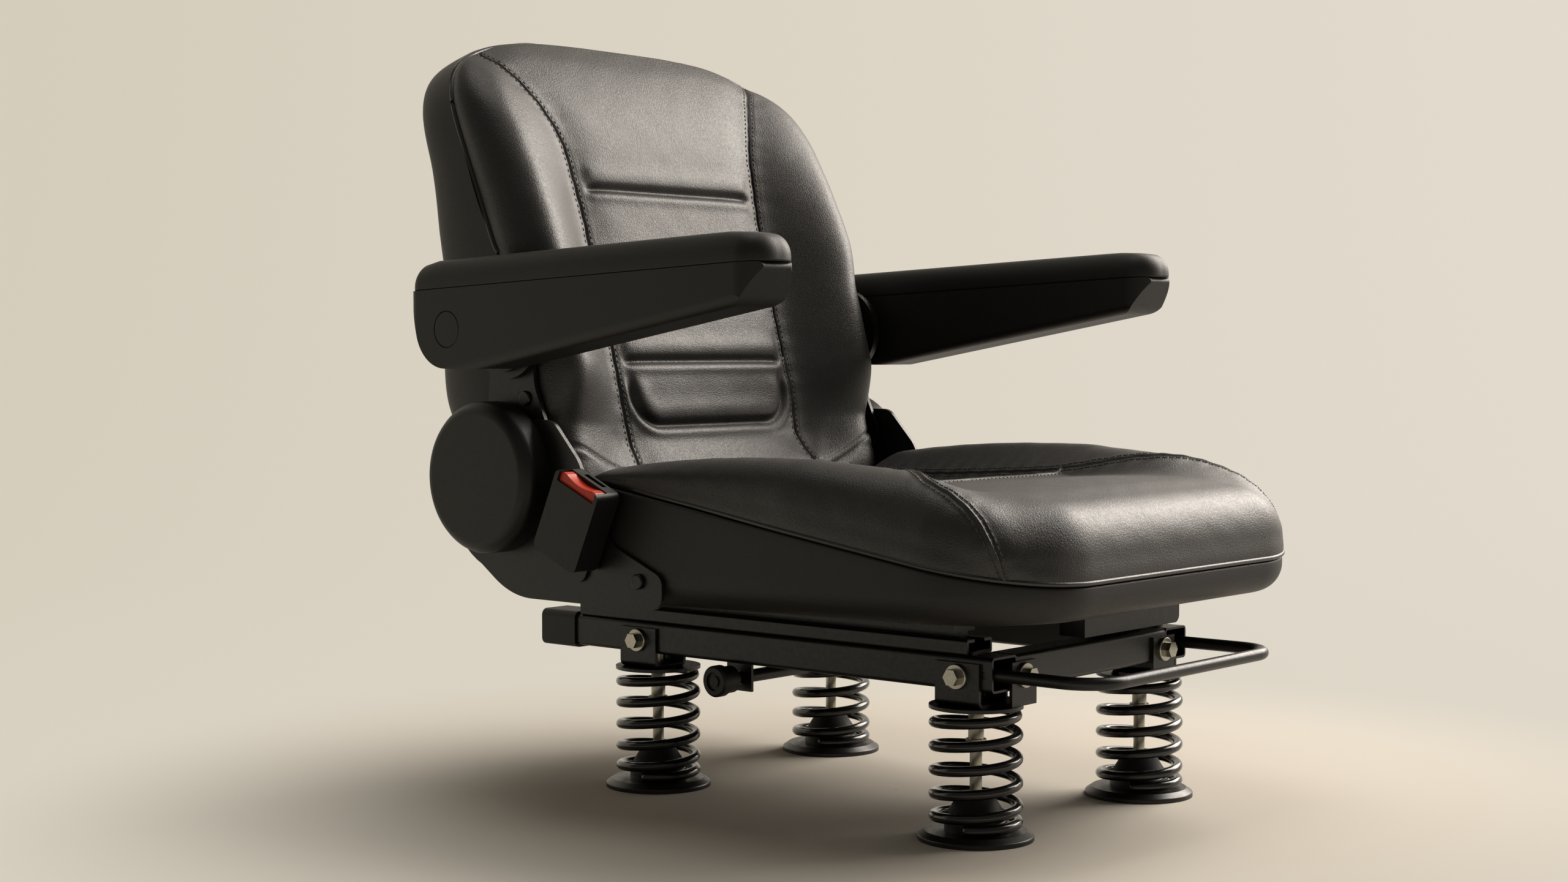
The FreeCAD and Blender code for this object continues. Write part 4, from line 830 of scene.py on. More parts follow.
@dataclass
class SeatCover(SewnCover):
    """Seat cushion's cover: side panels, a domed front panel that rolls over the edge and a dished panel."""

    corner: Pair = (143.0, 209.0)
    radius: Pair = (105.0, 105.0)
    power: float = 2.0
    roll: Roll = Roll(44.0, 72.0, 2.2, 20.0)
    bulge: float = 2.5
    sewing: Sewing = Sewing(
        puff=4.0, puff_width=26.0, sink=1.5, groove=2.6, row=0.7, row_at=5.5, row_width=1.3, drawn=0.32,
        drawn_width=18.0, over_p=(0.11, 0.5, 0.05), over_q=(0.16, 0.9, 0.04), drawn_q=(0.33, 1.3, 0.09),
        pitch=6.2, length=4.4, thread=0.75,
    )
    rear_roll: Roll = Roll(46.0, 60.0, 2.2, 0.0)
    rear_start: float = 150.0
    rear_floor: float = 236.0
    crest: float = 300.0
    crest_y: float = -228.0
    dip: float = 16.0
    dip_run: float = 506.0
    dip_rate: float = 1.4
    front_drop: float = 6.0
    front_from: float = -235.0
    front_run: float = 60.0
    bolster: Pair = (146.0, 62.0)
    dome: float = 5.0
    dome_y: float = -170.0
    dome_half: float = 110.0
    dome_wide: float = 215.0
    dome_flat: float = 1.15
    arch: float = 326.0
    arch_y: float = -40.0
    arch_fall: Pair = (0.00066, 0.00037)
    cross_seam: float = 78.0
    cross_half: float = 158.0
    cross_end: float = 163.5
    cross_fade: float = 3.0
    cross_clear: float = 30.0
    seam_in: float = 162.0
    seam_knots: tuple[Pair, ...] = (
        (162.0, -150.0), (160.0, -80.0), (160.0, 0.0), (163.0, 78.0), (170.0, 110.0), (192.0, 164.0),
        (217.0, 203.0),
    )
    knee_turns: tuple[float, ...] = (17.0, 29.0, 38.0, 43.0)
    knee_outs: tuple[float, ...] = (22.0, 37.0, 66.0)
    sewn_fade: float = 0.08
    turn_over: float = 215.0
    waist: float = 4.5
    waist_y: Pair = (-80.0, 130.0)
    waist_x: Pair = (190.0, 50.0)
    tail_waist: float = 9.0
    tail_x: Pair = (180.0, 60.0)
    heart: tuple[float, float, float] = (0.0, -20.0, 232.0)
    welt_from: float = -110.0

    def __post_init__(self) -> None:
        """Lay out the seams on the pattern."""
        super().__post_init__()
        self.tail = -self.rear_start - self.rear_roll.length()
        turns = np.radians(self.knee_turns)
        outs = self.start + self.radius[0] + np.array([*self.knee_outs, self.roll.length()])
        knee = self.corner + outs[:, None] * np.stack([np.cos(turns), np.sin(turns)], axis=1)
        self.seam = spline([(self.seam_in, self.tail), *self.seam_knots, *map(tuple, knee)], 700)
        self.tip_turn = float(turns[-1])
        self.split = int(np.argmin(np.hypot(*(self.seam - knee[0]).T)))

    def crown(self, x: Array, y: Array) -> Array:
        """Height of the top: a dish between bolsters, whose crest is two half parabolas.

        Args:
            x, y: places in plan.

        Returns:
            Heights in the frame.
        """
        along = (y - self.crest_y) / self.dip_run
        middle = self.crest - self.dip * smooth(self.dip_rate * along)
        fall = np.where(y < self.arch_y, *self.arch_fall)
        side = np.maximum(self.arch - fall * (y - self.arch_y) ** 2, self.crest - self.dip)
        middle = middle - self.front_drop * smooth((self.front_from - y) / self.front_run)
        rise = ramp(np.abs(x), *self.bolster)
        dome = self.dome * smooth(1.0 - np.abs(y - self.dome_y) / self.dome_half)
        dome = dome * smooth(self.dome_flat - np.abs(x) / self.dome_wide)
        return middle + (side - middle) * rise + dome

    def place(self, p: Array, q: Array) -> Array:
        """Places of the smooth cover: plan from the roll, height from rim to crown, tail rolled down.

        Args:
            p, q: places on the pattern.

        Returns:
            Places in the frame.
        """
        x, along, lift = self.rolled(p, q)
        arc, out, left = self.rear_roll.table()
        rear = np.maximum(-q - self.rear_start, 0.0)
        y = np.where(q < -self.rear_start, self.rear_start + np.interp(rear, arc, out), -along)
        fall = np.interp(rear, arc, left)
        slim = self.waist * ramp(y, *self.waist_y) * ramp(np.abs(x), *self.waist_x)
        slim = slim + self.tail_waist * (1.0 - fall) * ramp(np.abs(x), *self.tail_x)
        base = pan_rim(y) + 1.0
        z = base + (self.crown(x, y) - base) * lift
        z = self.rear_floor + (z - self.rear_floor) * fall
        return np.stack([x - np.sign(p) * slim, y, z], axis=-1)

    def relief(self, p: Array, q: Array) -> Array:
        """Stuffing between seams, sewn grooves along them and faint folds, all fading out at the rim.

        Args:
            p, q: places on the pattern.

        Returns:
            Heights over the smooth cover.
        """
        _, _, lift = self.rolled(p, q)
        seam = self.seam_distance(p, q, self.seam)
        between = smooth((self.cross_end - np.abs(p)) / self.cross_fade)
        cross = np.hypot(np.abs(q - self.cross_seam), self.cross_clear * (1.0 - between))
        near = np.minimum(seam, cross)
        swell = self.sewing.stuffing(near) + self.sewing.folds(seam, p, q)
        sewn = self.sewing.sewn(near, near)
        return swell * smooth(lift / self.sewing.fade) + sewn * smooth(lift / self.sewn_fade)

    def make(self) -> list[Piece]:
        """Build the cover, its welt and its stitches.

        Returns:
            The three pieces.
        """
        across, half, rows = 44, 60, 170
        ends = (self.tail, self.turn_over)
        shares, spine_q = self.rows(rows, across, [self.cross_seam], (0.02, 4.0), ends)
        first = self.seam[0, 0]
        near = np.stack([first + (self.edge - first) * gathered(across), np.full(across, self.tail)], axis=1)
        panel, seam, outer = self.side_panel(near, shares)
        middle, tail, head = self.middle_panel(spine_q, seam, half, 80)
        loop = np.concatenate([tail, near[1:], outer[1:], head[::-1][1:]])
        cover = self.build("seat_cover", [panel, middle], loop, np.array(self.heart))
        rim = np.concatenate([outer[outer[:, 1] > self.welt_from], head[::-1][1:]])
        welt = self.welt("seat_welt", rim, rise=1.7, cord=2.2, sides=12)
        cross = np.stack([np.linspace(0.0, self.cross_half, 200), np.full(200, self.cross_seam)], axis=1)
        stitches = self.stitches("seat_stitches", [self.seam, cross])
        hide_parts("seat_cushion")
        return [cover, welt, stitches]


@dataclass
class BackCover(SewnCover):
    """Backrest's cover in the back's own upright frame: bolsters, a quilted panel and a round lower end."""

    corner: Pair = (0.0, 320.0)
    radius: Pair = (246.0, 119.5)
    power: float = 3.3
    roll: Roll = Roll(34.0, 40.0, 2.2, 14.0)
    bulge: float = 0.0
    sewing: Sewing = Sewing(
        puff=3.6, puff_width=24.0, sink=2.0, groove=2.4, row=0.6, row_at=4.5, row_width=1.2, drawn=0.3,
        drawn_width=16.0, over_p=(0.10, 0.6, 0.05), over_q=(0.13, 0.8, 0.05), drawn_q=(0.30, 1.1, 0.08),
        pitch=6.0, length=4.2, thread=0.6,
    )
    recline: float = 15.5
    hinge: float = HINGE_ROOM
    skin: float = 77.5
    top: float = 441.0
    slim: float = 9.5
    slim_u: Pair = (160.0, 60.0)
    slim_x: float = 240.0
    face: float = 60.0
    head_bend: float = 43.0
    bolster: float = 100.0
    bolster_x: Pair = (128.0, 92.0)
    rim_depth: float = 54.0
    rim_rise: float = 40.0
    rim_proud: float = 0.5
    channels: tuple[float, ...] = (271.0, 183.0, 95.0)
    channel_half: float = 123.0
    channel_fade: float = 12.0
    pad_low: float = 30.0
    pad_half: float = 117.0
    pad_corner: float = 36.0
    pad_fade: Pair = (8.0, 24.0)
    under: float = -100.0
    under_run: float = 40.0
    hip_in: Pair = (137.0, -19.0)
    hip_knots: tuple[Pair, ...] = ((158.0, -16.0), (189.0, -6.0), (222.0, 8.0))
    hip_out: float = 22.0
    seam_knots: tuple[Pair, ...] = (
        (130.0, 20.0), (132.0, 50.0), (132.0, 110.0), (131.0, 180.0), (130.0, 240.0), (134.0, 283.0),
        (138.0, 316.0), (155.0, 360.0), (176.0, 395.0), (192.0, 414.0),
    )
    shoulder: Pair = (176.0, 395.0)
    seam_tip: Pair = (206.0, 430.0)
    heart: Pair = (190.0, -24.0)

    def __post_init__(self) -> None:
        """Lay out the seams on the pattern."""
        super().__post_init__()
        self.tip_turn = self.rim_turn(*self.seam_tip)
        tip = self.rim_place(np.array([self.tip_turn]))[0]
        self.seam = spline([self.hip_in, *self.seam_knots, tuple(tip)], 700)
        self.split = int(np.argmin(np.hypot(*(self.seam - self.shoulder).T)))
        self.hip = spline([self.hip_in, *self.hip_knots, (self.edge, self.hip_out)], 200)

    def reclined(self, u: Array, v: Array) -> tuple[Array, Array]:
        """Turn the back's own height u and depth v into y and z round the hinge.

        Args:
            u: heights along the back.
            v: depths, negative to the front.

        Returns:
            y and z in the frame.
        """
        lean = math.radians(self.recline)
        y = v * math.cos(lean) + u * math.sin(lean) + HINGE_AT[0]
        return y, -v * math.sin(lean) + u * math.cos(lean) + HINGE_AT[1]

    def turned(self, u: Array) -> Array:
        """Half depth of the round lower end."""
        return np.sqrt(np.maximum(self.hinge ** 2 - np.minimum(u, 0.4 * self.hinge) ** 2, 0.0))

    def panel_face(self, u: Array) -> Array:
        """Depth of the middle of the front face: a flat that a square bends back at the head, round below.

        Args:
            u: heights along the back.

        Returns:
            Depths, negative to the front.
        """
        bend = np.maximum((u - 0.68 * self.top) / (0.32 * self.top), 0.0)
        flat = -self.face * (0.93 + 0.07 * smooth(u / self.hinge)) + self.head_bend * bend ** 2
        lift = smooth((u / self.hinge + 0.58) / 0.9)
        return flat * lift - self.turned(u) * (1.0 - lift)

    def bolster_face(self, u: Array) -> Array:
        """Depth of the bolsters: smooth steps out from the round lower end and back to the panel's face.

        Args:
            u: heights along the back.

        Returns:
            Depths, negative to the front.
        """
        swell = smooth((u / self.hinge - 0.2) / 0.9)
        full = -(self.turned(u) + (self.bolster - self.turned(u)) * swell)
        fade = smooth((u / self.top - 0.43) / 0.57)
        return full + (self.panel_face(u) - full) * fade

    def shell_edge(self, u: Array) -> Array:
        """Depth of the shell's front edge, where the cover ends: a smooth step, then a straight line.

        Args:
            u: heights along the back.

        Returns:
            Depths, negative to the front.
        """
        low = -0.5 * self.hinge - (self.rim_depth - 0.5 * self.hinge) * smooth(u / (2 * self.hinge))
        rise = np.maximum((u - 2 * self.hinge) / (self.top - 2 * self.hinge), 0.0)
        return np.where(u < 0.0, -0.5 * self.turned(u), low + self.rim_rise * rise)

    def place(self, p: Array, q: Array) -> Array:
        """Places of the smooth cover: depth from the shell's edge to the face, low end round the hinge.

        Args:
            p, q: places on the pattern.

        Returns:
            Places in the frame.
        """
        x, along, lift = self.rolled(p, q)
        turn = np.clip(-q / self.skin, 0.0, 1.5)
        u = np.where(q < 0.0, -self.skin * np.sin(turn), along)
        slim = self.slim * (1.0 - ramp(u, *self.slim_u)) * smooth(np.abs(x) / self.slim_x)
        x = x - np.sign(p) * slim
        beside = ramp(np.abs(x), *self.bolster_x)
        panel, bolster = self.panel_face(u), self.bolster_face(u)
        face = panel + (bolster - panel) * beside
        face = np.where(u < 0.0, np.maximum(face, -np.sqrt(np.maximum(self.skin ** 2 - u ** 2, 0.0))), face)
        edge = self.shell_edge(u) - self.rim_proud
        return np.stack([x, *self.reclined(u, edge + (face - edge) * lift)], axis=-1)

    def quilting(self, p: Array, q: Array) -> Array:
        """Relief of the panel: channels that end short of the seams, and a lowest pad with round corners.

        Args:
            p, q: places on the pattern.

        Returns:
            Heights over the panel.
        """
        wide = np.abs(p)
        depth = np.zeros_like(p)
        for channel in self.channels:
            depth += self.channel(channel - q) * smooth((self.channel_half - wide) / self.channel_fade)
        a = np.maximum(wide - (self.pad_half - self.pad_corner), 0.0)
        b = np.maximum((self.pad_low + self.pad_corner) - q, 0.0)
        edge = self.pad_corner - np.hypot(a, b)
        below = ramp(self.channels[-1] - q, *self.pad_fade)
        return depth + self.channel(-edge) * below

    def channel(self, past: Array) -> Array:
        """Section of a sewn channel by the distance past its thread: rolled lip, groove and low bead."""
        return 2.0 * bell(past + 15.0, 10.0) - 5.2 * bell(past + 1.0, 4.2) + 1.3 * bell(past - 8.5, 4.5)

    def relief(self, p: Array, q: Array) -> Array:
        """Stuffing between seams, sewn grooves, quilting and faint folds, all fading out at the rim.

        Args:
            p, q: places on the pattern.

        Returns:
            Heights over the smooth cover.
        """
        _, _, lift = self.rolled(p, q)
        seam = self.seam_distance(p, q, self.seam)
        hip = self.seam_distance(p, q, self.hip)
        near = np.minimum(seam, hip)
        height = self.sewing.stuffing(near) + self.sewing.sewn(near, seam) + self.sewing.folds(seam, p, q)
        low = ramp(q, self.under, self.under_run)
        return (height + self.quilting(p, q)) * smooth(lift / self.sewing.fade) * low

    def make(self) -> list[Piece]:
        """Build the cover, its welt and its stitches.

        Returns:
            The three pieces.
        """
        across, half, rows, low = 40, 60, 190, 34
        hip, hip_q = self.hip_in
        marks = [*self.channels, self.pad_low]
        shares, spine_q = self.rows(rows, across, marks, (0.025, 2.5), (hip_q, self.shoulder[1]))
        near = resample(self.hip, gathered(across))
        panel, seam, outer = self.side_panel(near, shares)
        fall = np.linspace(0.0, 1.0, low)[:, None]
        foot_in = np.array([[hip, self.under]]) * (1 - fall) + near[:1] * fall
        foot_out = np.array([[self.edge, self.under]]) * (1 - fall) + near[-1:] * fall
        foot = np.stack([hip + (self.edge - hip) * gathered(across), np.full(across, self.under)], axis=1)
        hem = coons(foot_in, foot_out, foot, near)
        spine_q = np.concatenate([self.under + (hip_q - self.under) * fall[:-1, 0], spine_q])
        seam = np.concatenate([foot_in[:-1], seam])
        middle, tail, head = self.middle_panel(spine_q, seam, half, 120)
        loop = np.concatenate([tail, foot[1:], foot_out[1:], outer[1:], head[::-1][1:]])
        heart = np.array([0.0, *self.reclined(*self.heart)])
        cover = self.build("back_cover", [panel, hem, middle], loop, heart)
        rim = np.concatenate([outer, head[::-1][1:]])
        welt = self.welt("back_welt", rim, rise=0.0, cord=2.6, sides=10)
        stitches = self.stitches("back_stitches", [self.seam])
        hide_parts("back_cushion")
        return [cover, welt, stitches]


class Side(Enum):
    """Side of the sitter, as the sign of its sideways coordinate."""

    RIGHT = -1
    LEFT = 1


class End(Enum):
    """End of the seat, as the sign of its lengthwise coordinate."""

    FRONT = -1
    REAR = 1


@dataclass
class ArmPad:
    """Soft top of an armrest: a crowned pad with a round nose on a rising parting line."""

    side: Side
    inner: float = 265.0
    width: float = 60.0
    front: float = -110.0
    rear: float = 320.0
    seam_front: float = 490.0
    seam_rear: float = 471.0
    height: float = 27.0
    nose: float = 26.0
    heel: float = 14.0
    nose_fall: float = 7.0
    nose_from: float = 60.0
    nose_run: float = 70.0
    heel_fall: float = 9.0
    heel_run: float = 30.0
    set_in: float = 0.6
    ridge: float = 0.25
    gap: float = 0.4
    crown: float = 2.0
    roll: Roll = Roll(15.0, 26.0, 2.3, 6.0)

    def make(self) -> Piece:
        """Build the pad: rings from the parting line over the roll to the ridge, and a flat underside.

        Returns:
            The pad.
        """
        arc, out, lift = self.roll.table()
        at = np.linspace(arc[-1], 0.0, 22)
        insets = self.roll.reach - np.interp(at, arc, out) + self.set_in
        lifts = np.interp(at, arc, lift)
        flat = np.linspace(self.roll.reach + self.set_in, self.width / 2 - self.ridge, 8)[1:]
        insets = np.concatenate([insets, flat])
        lifts = np.concatenate([lifts, np.ones(len(flat))])
        ends = (self.front, self.rear)
        corners = (self.nose, self.heel)
        plan = np.stack([rounded_plan(self.width / 2, ends, corners, inset, 14, 26) for inset in insets])
        rise = (self.seam_front - self.seam_rear) / (self.rear - self.front)
        seam = self.seam_rear + (self.rear - plan[..., 1]) * rise
        crown = self.crown * (1.0 - (plan[..., 0] / (self.width / 2)) ** 2)
        slope = self.nose_fall * smooth((self.front + self.nose_from - plan[..., 1]) / self.nose_run) ** 2
        heel = np.clip((plan[..., 1] - self.rear + self.heel_run) / self.heel_run, 0.0, 1.0)
        slope = slope + self.heel_fall * heel ** 2
        tops = (self.height - self.crown + crown - slope) * lifts[:, None]
        middle = self.side.value * (self.inner + self.width / 2)
        spots = np.stack([plan[..., 0] + middle, plan[..., 1], seam + self.gap + tops], axis=-1)
        faces = grid_faces(*spots.shape[:2], ring=True).tolist()
        faces.append(list(range(spots.shape[1])))
        word = self.side.name.lower()
        pad = mesh_piece(f"arm_pad_soft_{word}", spots.reshape(-1, 3), faces, weld=0.3)
        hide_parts(f"arm_pad_{word}")
        return pad


@dataclass
class PanShell:
    """Moulded seat pan: walls under a thin lip that roll into a floor, with a tail round the hinge."""

    half: float = 248.0
    ends: Pair = (PAN_FRONT, 364.0)
    corners: Pair = (105.0, 30.0)
    lip: tuple[Pair, ...] = (
        (4.4, 12.0), (4.0, 1.2), (3.2, 0.3), (2.2, 0.0), (1.0, 0.3), (0.2, 1.2), (0.0, 2.6),
    )
    floor: Pair = (196.0, -0.02076)
    tail_start: float = 225.0
    tail_curve: float = 0.0044
    rear_top: float = 282.0
    roll: float = 26.0
    roll_share: float = 0.85
    crowding: float = 1.6

    def top(self, y: Array) -> Array:
        """Height of the lip: a rising line, scooped out by the circle round the hinge.

        Args:
            y: places along the seat.

        Returns:
            Heights in the frame.
        """
        past = y - HINGE_AT[0]
        scoop = HINGE_AT[1] - np.sqrt(np.maximum(HINGE_ROOM ** 2 - past ** 2, 0.0))
        low = np.where(np.abs(past) < HINGE_ROOM, np.minimum(pan_rim(y), scoop), pan_rim(y))
        return np.where(past > 0.0, np.minimum(low, self.rear_top), low)

    def under(self, y: Array) -> Array:
        """Height of the floor: a line that falls a little, plus a square of the way into the tail."""
        line = self.floor[0] + self.floor[1] * (y - self.ends[0])
        return line + self.tail_curve * np.maximum(y - self.tail_start, 0.0) ** 2

    def make(self) -> Piece:
        """Build the pan: rings from a hidden lid over the lip, down the wall and round to the floor.

        Returns:
            The pan.
        """
        plan = rounded_plan(self.half, self.ends, self.corners, 0.0, 24, 70)
        ahead = unit(np.roll(plan, -1, axis=0) - np.roll(plan, 1, axis=0))
        inward = np.stack([-ahead[:, 1], ahead[:, 0]], axis=1)
        top, low = self.top(plan[:, 1]), self.under(plan[:, 1])
        rings = []
        for inset, drop in self.lip:
            spot = plan + inset * inward
            rings.append((spot, np.minimum(top, self.top(spot[:, 1])) - drop))
        tall = top - self.lip[-1][1] - low
        radius = np.minimum(self.roll, self.roll_share * tall)
        for share in np.concatenate([np.linspace(0.0, 0.6, 8)[1:], np.linspace(0.6, 1.0, 16)[1:]]):
            height = tall * (1.0 - share) ** self.crowding
            reach = radius - np.sqrt(np.maximum(radius ** 2 - np.maximum(radius - height, 0.0) ** 2, 0.0))
            spot = plan + reach[:, None] * inward
            rings.append((spot, self.under(spot[:, 1]) + height))
        foot, level = rings[-1]
        for share in np.linspace(0.0, 1.0, 14)[1:]:
            rings.append((foot * [1.0 - share, 1.0], level))
        lid, sunk = rings[0]
        for share in np.linspace(0.0, 1.0, 6)[1:]:
            rings.insert(0, (lid * [1.0 - share, 1.0], sunk))
        spots = np.stack([np.concatenate([spot, height[:, None]], axis=1) for spot, height in rings])
        faces = grid_faces(*spots.shape[:2], ring=True).tolist()
        pan = mesh_piece("seat_pan_moulded", spots.reshape(-1, 3), faces, weld=0.02)
        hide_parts("seat_pan")
        return pan


@dataclass
class CoilSpring:
    """Coil spring with closed and ground ends, wound right-handed."""

    word: str
    x: float
    y: float
    foot: float = 8.0
    height: float = 105.0
    radius: float = 36.0
    wire: float = 4.5
    travel: float = 35.0
    coils: float = 5.5
    start: float = 200.0
    end_turns: Pair = (0.9, 0.5)
    end_climbs: Pair = (8.0, 4.0)
    draw_in: float = 1.2
    draw_run: float = 0.4

    def make(self) -> Piece:
        """Build the wire: a helix whose climb is a closed turn, four open turns and half a closing turn.

        Returns:
            The spring.
        """
        turns = np.linspace(0.0, self.coils, 400)
        low = self.foot + self.wire
        high = self.foot + self.height - self.wire
        closing = self.coils - self.end_turns[1]
        knots = [0.0, self.end_turns[0], closing, self.coils]
        climb = np.interp(turns, knots, [low, low + self.end_climbs[0], high - self.end_climbs[1], high])
        climb = np.convolve(np.pad(climb, 20, mode="edge"), np.ones(41) / 41.0, mode="valid")
        turn = math.radians(self.start) + 2 * math.pi * turns
        close = self.radius - self.draw_in * ramp(turns, closing, self.draw_run)
        path = np.stack([self.x + close * np.cos(turn), self.y + close * np.sin(turn), climb], axis=1)
        vertices, faces = tube(path, self.wire, 14)
        vertices[:, 2] = np.clip(vertices[:, 2], self.foot, self.foot + self.height)
        spring = mesh_piece(f"coil_{self.word}", vertices, faces)
        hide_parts(f"spring_{self.word}")
        return spring

    def shorten(self, spring: Piece) -> None:
        """Give the spring its own copy of its mesh.

        Args:
            spring: the spring's piece.
        """
        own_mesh(spring)


@dataclass
class Studio:
    """Paper that sweeps up behind the seat, a large soft light and the camera of the photograph."""

    camera_at: tuple[float, float, float] = (-1.7351, -1.3505, 0.4216)
    yaw: float = 49.33
    pitch: float = -2.36
    lens: float = 53.44
    # Painted light: the paper's shown colour is darker on the left and lighter on the right, standing in for
    # the lamp's light falling off across it.
    paper_painted_shade_left: str = "#d5cdbc"
    paper_painted_light_right: str = "#e3dbce"
    paper_lit: str = "#cfc9be"
    cove_start: float = 2200.0
    cove_radius: float = 1500.0
    cove_top: float = 4200.0
    cove_turn: Pair = (80.0, 104.0)
    open_reach: float = 2.4
    painted_falloff_half: float = 1.8
    lit_reach: Pair = (0.3, 0.9)
    air: str = "#ddd6ca"
    air_strength: float = 0.2
    aim_height: float = 0.42

    def camera(self) -> None:
        """Put the camera where the photograph was taken from."""
        data = bpy.data.cameras.new("photo_camera")
        data.lens = self.lens
        data.sensor_width = 36.0
        data.clip_end = 60.0
        view = bpy.data.objects.new("photo_camera", data)
        view.location = self.camera_at
        view.rotation_euler = (math.radians(90.0 + self.pitch), 0.0, math.radians(-self.yaw))
        bpy.context.scene.collection.objects.link(view)
        bpy.context.scene.camera = view

    def floor(self) -> None:
        """Build the floor and backdrop: one round sheet whose section is flat, a quarter circle and upright.

        The rise fades out with the turn away from the camera's line, where the sheet runs on flat instead.
        """
        bend = np.linspace(0.0, math.pi / 2, 40)
        flat = np.linspace(0.5, self.cove_start, 60)
        upright = np.linspace(self.cove_radius, self.cove_top, 20)[1:]
        reach = np.concatenate([
            flat,
            self.cove_start + self.cove_radius * np.sin(bend[1:]),
            np.full(len(upright), self.cove_start + self.cove_radius),
        ])
        level = np.concatenate([np.zeros(60), self.cove_radius * (1.0 - np.cos(bend[1:])), upright])
        turn = np.linspace(-180.0, 180.0, 181)[:-1]
        first, last = self.cove_turn
        rise = 1.0 - smooth((np.abs(turn) - first) / (last - first))
        outward = reach[:, None] * (1.0 + (self.open_reach - 1.0) * (1.0 - rise))
        heading = np.radians(turn + self.yaw)
        spots = np.stack([
            outward * np.sin(heading), outward * np.cos(heading), level[:, None] * rise,
        ], axis=-1)
        faces = grid_faces(*spots.shape[:2], ring=True).tolist()
        sheet = mesh_piece("studio_floor", spots.reshape(-1, 3), faces)
        dress(sheet, self.backdrop())

    def backdrop(self) -> bpy.types.Material:
        """Matt paper, lit near the seat so that it keeps the shadow, and farther off the paper's colour
        shown flat with painted light: darker on the left, lighter on the right.

        Returns:
            The material.
        """
        made = bpy.data.materials.new("backdrop_paper_matt")
        made.use_nodes = True
        tree = made.node_tree
        lit = tree.nodes["Principled BSDF"]
        lit.inputs["Base Color"].default_value = linear(self.paper_lit)
        lit.inputs["Roughness"].default_value = 0.95
        lit.inputs["Specular IOR Level"].default_value = 0.1
        where = node_output(tree, "TexCoord", "Object")
        look = math.radians(self.yaw)
        sideways = {"operation": "DOT_PRODUCT", 1: (math.cos(look), -math.sin(look), 0.0)}
        across = node_output(tree, "VectorMath", "Value", sideways, {0: where})
        # Painted light: a ramp from the darker left colour to the lighter right colour, standing in for the
        # lamp's falloff across the backdrop.
        width = {"From Min": -self.painted_falloff_half, "From Max": self.painted_falloff_half}
        share = node_output(tree, "MapRange", "Result", width, {"Value": across})
        colours = {"data_type": "RGBA", 6: linear(self.paper_painted_shade_left), 7: linear(self.paper_painted_light_right)}
        painted_falloff = node_output(tree, "Mix", 2, colours, {0: share})
        painted_paper = node_output(tree, "Emission", "Emission", {"Strength": 1.0}, {"Color": painted_falloff})
        rays = tree.nodes.new("ShaderNodeLightPath").outputs
        direct = {0: rays["Is Camera Ray"], 1: rays["Is Glossy Ray"]}
        seen = node_output(tree, "Math", "Value", {"operation": "ADD"}, direct)
        through = {0: seen, 1: rays["Is Transmission Ray"]}
        seen = node_output(tree, "Math", "Value", {"operation": "ADD", "use_clamp": True}, through)
        away = node_output(tree, "VectorMath", "Value", {"operation": "LENGTH"}, {0: where})
        near, beyond = self.lit_reach
        step = {"interpolation_type": "SMOOTHSTEP", "From Min": near, "From Max": beyond}
        far = node_output(tree, "MapRange", "Result", step, {"Value": away})
        shown = node_output(tree, "Math", "Value", {"operation": "MULTIPLY"}, {0: seen, 1: far})
        both = {0: shown, 1: lit.outputs["BSDF"], 2: painted_paper}
        mixed = node_output(tree, "MixShader", "Shader", links=both)
        tree.links.new(mixed, tree.nodes["Material Output"].inputs["Surface"])
        return made

    def lamp(
        self, name: str, at: tuple[float, float, float], size: float, power: float, warmth: str
    ) -> None:
        """Add one soft square lamp that looks at the seat.

        Args:
            name: the lamp's name.
            at: its place in metres.
            size: its side in metres.
            power: its power in watts.
            warmth: its colour in hex.
        """
        data = bpy.data.lights.new(name, "AREA")
        data.size = size
        data.energy = power
        data.color = linear(warmth)[:3]
        lamp = bpy.data.objects.new(name, data)
        aim = np.array([0.0, 0.0, self.aim_height]) - np.array(at)
        flat = math.hypot(aim[0], aim[1])
        lamp.location = at
        lamp.rotation_euler = (math.pi / 2 + math.atan2(aim[2], flat), 0.0, math.atan2(-aim[0], aim[1]))
        bpy.context.scene.collection.objects.link(lamp)

    def world(self) -> None:
        """Fill light from all round, a warm pale grey."""
        world = bpy.data.worlds.new("studio_air")
        world.use_nodes = True
        air = world.node_tree.nodes["Background"]
        air.inputs["Color"].default_value = linear(self.air)
        air.inputs["Strength"].default_value = self.air_strength
        bpy.context.scene.world = world

    def make(self) -> None:
        """Set the camera, the floor and the lights."""
        bpy.context.scene.view_settings.view_transform = "Standard"
        self.camera()
        self.floor()
        self.lamp("window_left", (2.15, -0.6, 1.78), 2.0, 125.0, "#fff6ec")
        self.lamp("top_soft", (0.0, 0.3, 2.6), 1.2, 10.0, "#fff8f0")
        self.world()


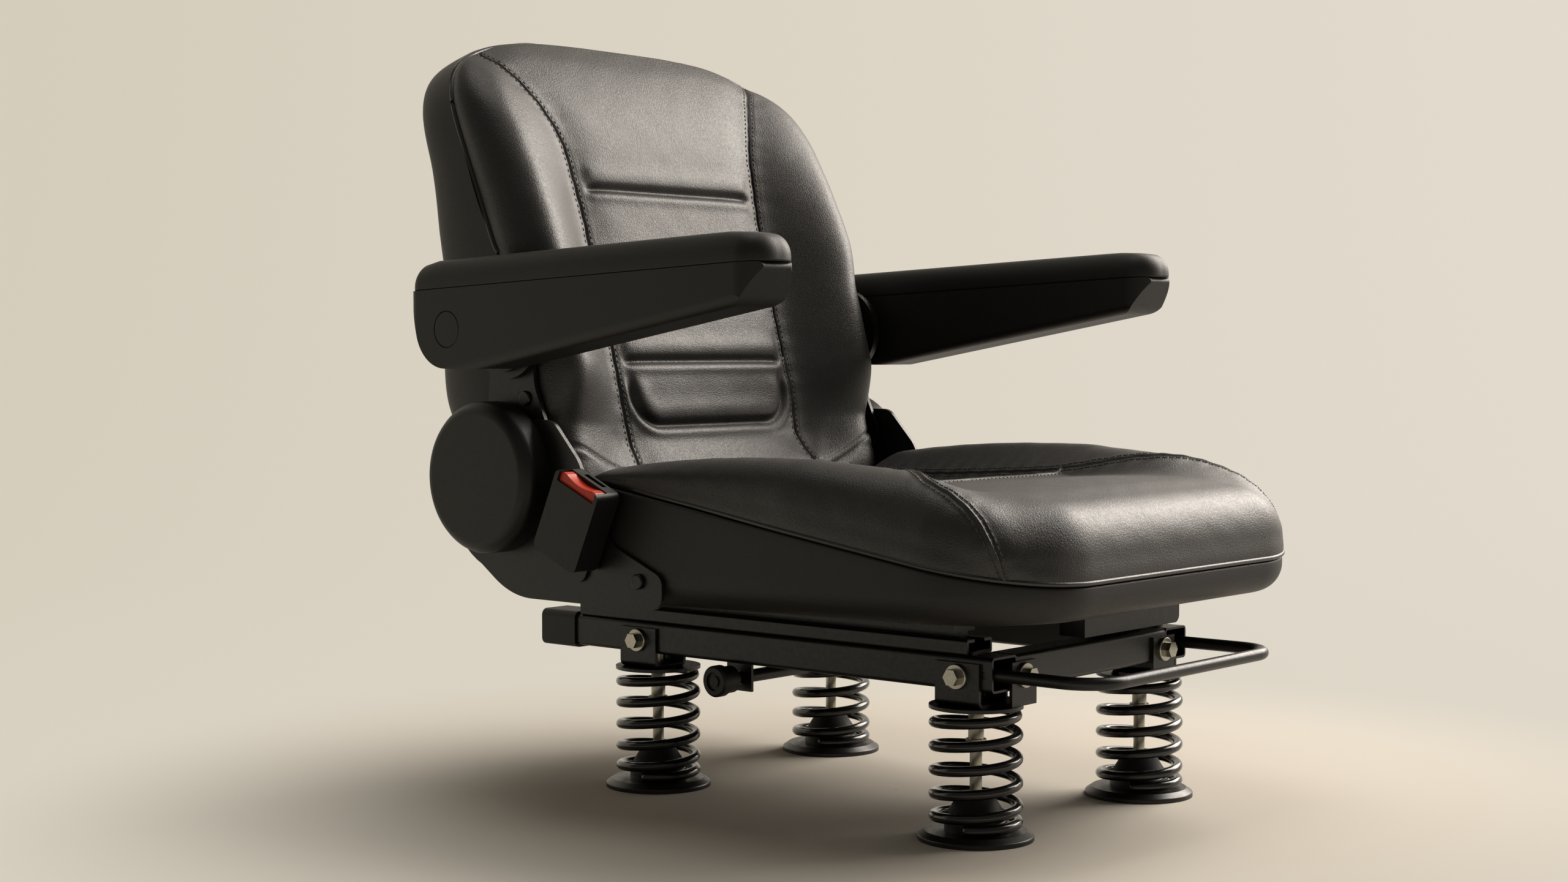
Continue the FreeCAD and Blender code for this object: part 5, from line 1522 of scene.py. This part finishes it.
NODE_FINISH: dict[Finishes, tuple[str, ...]] = {
    Finishes.POLYPROPYLENE: (
        "seat_pan", "back_shell", "hinge_cover", "arm_body", "arm_cap", "buckle_body", "rail_end_caps",
        "adjuster_knob",
    ),
    Finishes.POWDER_COAT: (
        "foot", "side_rail", "front_beam", "rear_beam", "spring_bracket", "lower_track", "upper_track",
        "shaft_hangers", "release_bar", "adjuster_shaft", "track_spacers", "front_stop", "hinge_plate",
        "arm_bracket", "arm_hub", "buckle_strap",
    ),
    Finishes.SPRING_ENAMEL: ("spring_front", "spring_rear"),
    Finishes.ZINC: ("guide_rods", "guide_sleeves", "bracket_bolts", "hinge_pin", "buckle_rivets"),
    Finishes.RUBBER: ("bump_stops",),
    Finishes.BUTTON_ABS: ("buckle_button",),
    Finishes.LEATHERCLOTH: ("seat_cushion", "back_cushion"),
    Finishes.SKIN_FOAM: ("arm_pad",),
}


def finish_for(node: str) -> Finishes:
    """Finish of a CAD node, by the listed word that its name starts with."""
    return next(kind for kind, words in NODE_FINISH.items() if node.startswith(words))


def main() -> None:
    """Build and dress every piece, and report each."""
    logging.basicConfig(level=logging.INFO, format="%(name)s: %(message)s")
    made = {kind: kind.value.material() for kind in Finishes}
    Studio().make()
    for name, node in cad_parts.items():
        dress(node, made[finish_for(name)])
    for cover, body in ((SeatCover(), "seat_base"), (BackCover(), "backrest")):
        for piece, kind in zip(cover.make(), (Finishes.LEATHERCLOTH, Finishes.WELT, Finishes.THREAD)):
            dress(piece, made[kind])
            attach(piece, body)
            log.info("%s rides on %s", piece.name, body)
    pan = PanShell().make()
    dress(pan, made[Finishes.POLYPROPYLENE])
    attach(pan, "seat_base")
    log.info("%s made", pan.name)
    for side in Side:
        pad = ArmPad(side).make()
        dress(pad, made[Finishes.SKIN_FOAM])
        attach(pad, f"armrest_{side.name.lower()}")
        log.info("%s made", pad.name)
    for end, side in product(End, Side):
        word = f"{end.name}_{side.name}".lower()
        coil = CoilSpring(word, side.value * SPRING_AT[0], end.value * SPRING_AT[1])
        spring = coil.make()
        dress(spring, made[Finishes.SPRING_ENAMEL])
        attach(spring, "deck_feet")
        coil.shorten(spring)
        log.info("%s made", spring.name)


if __name__ == "__main__":
    main()
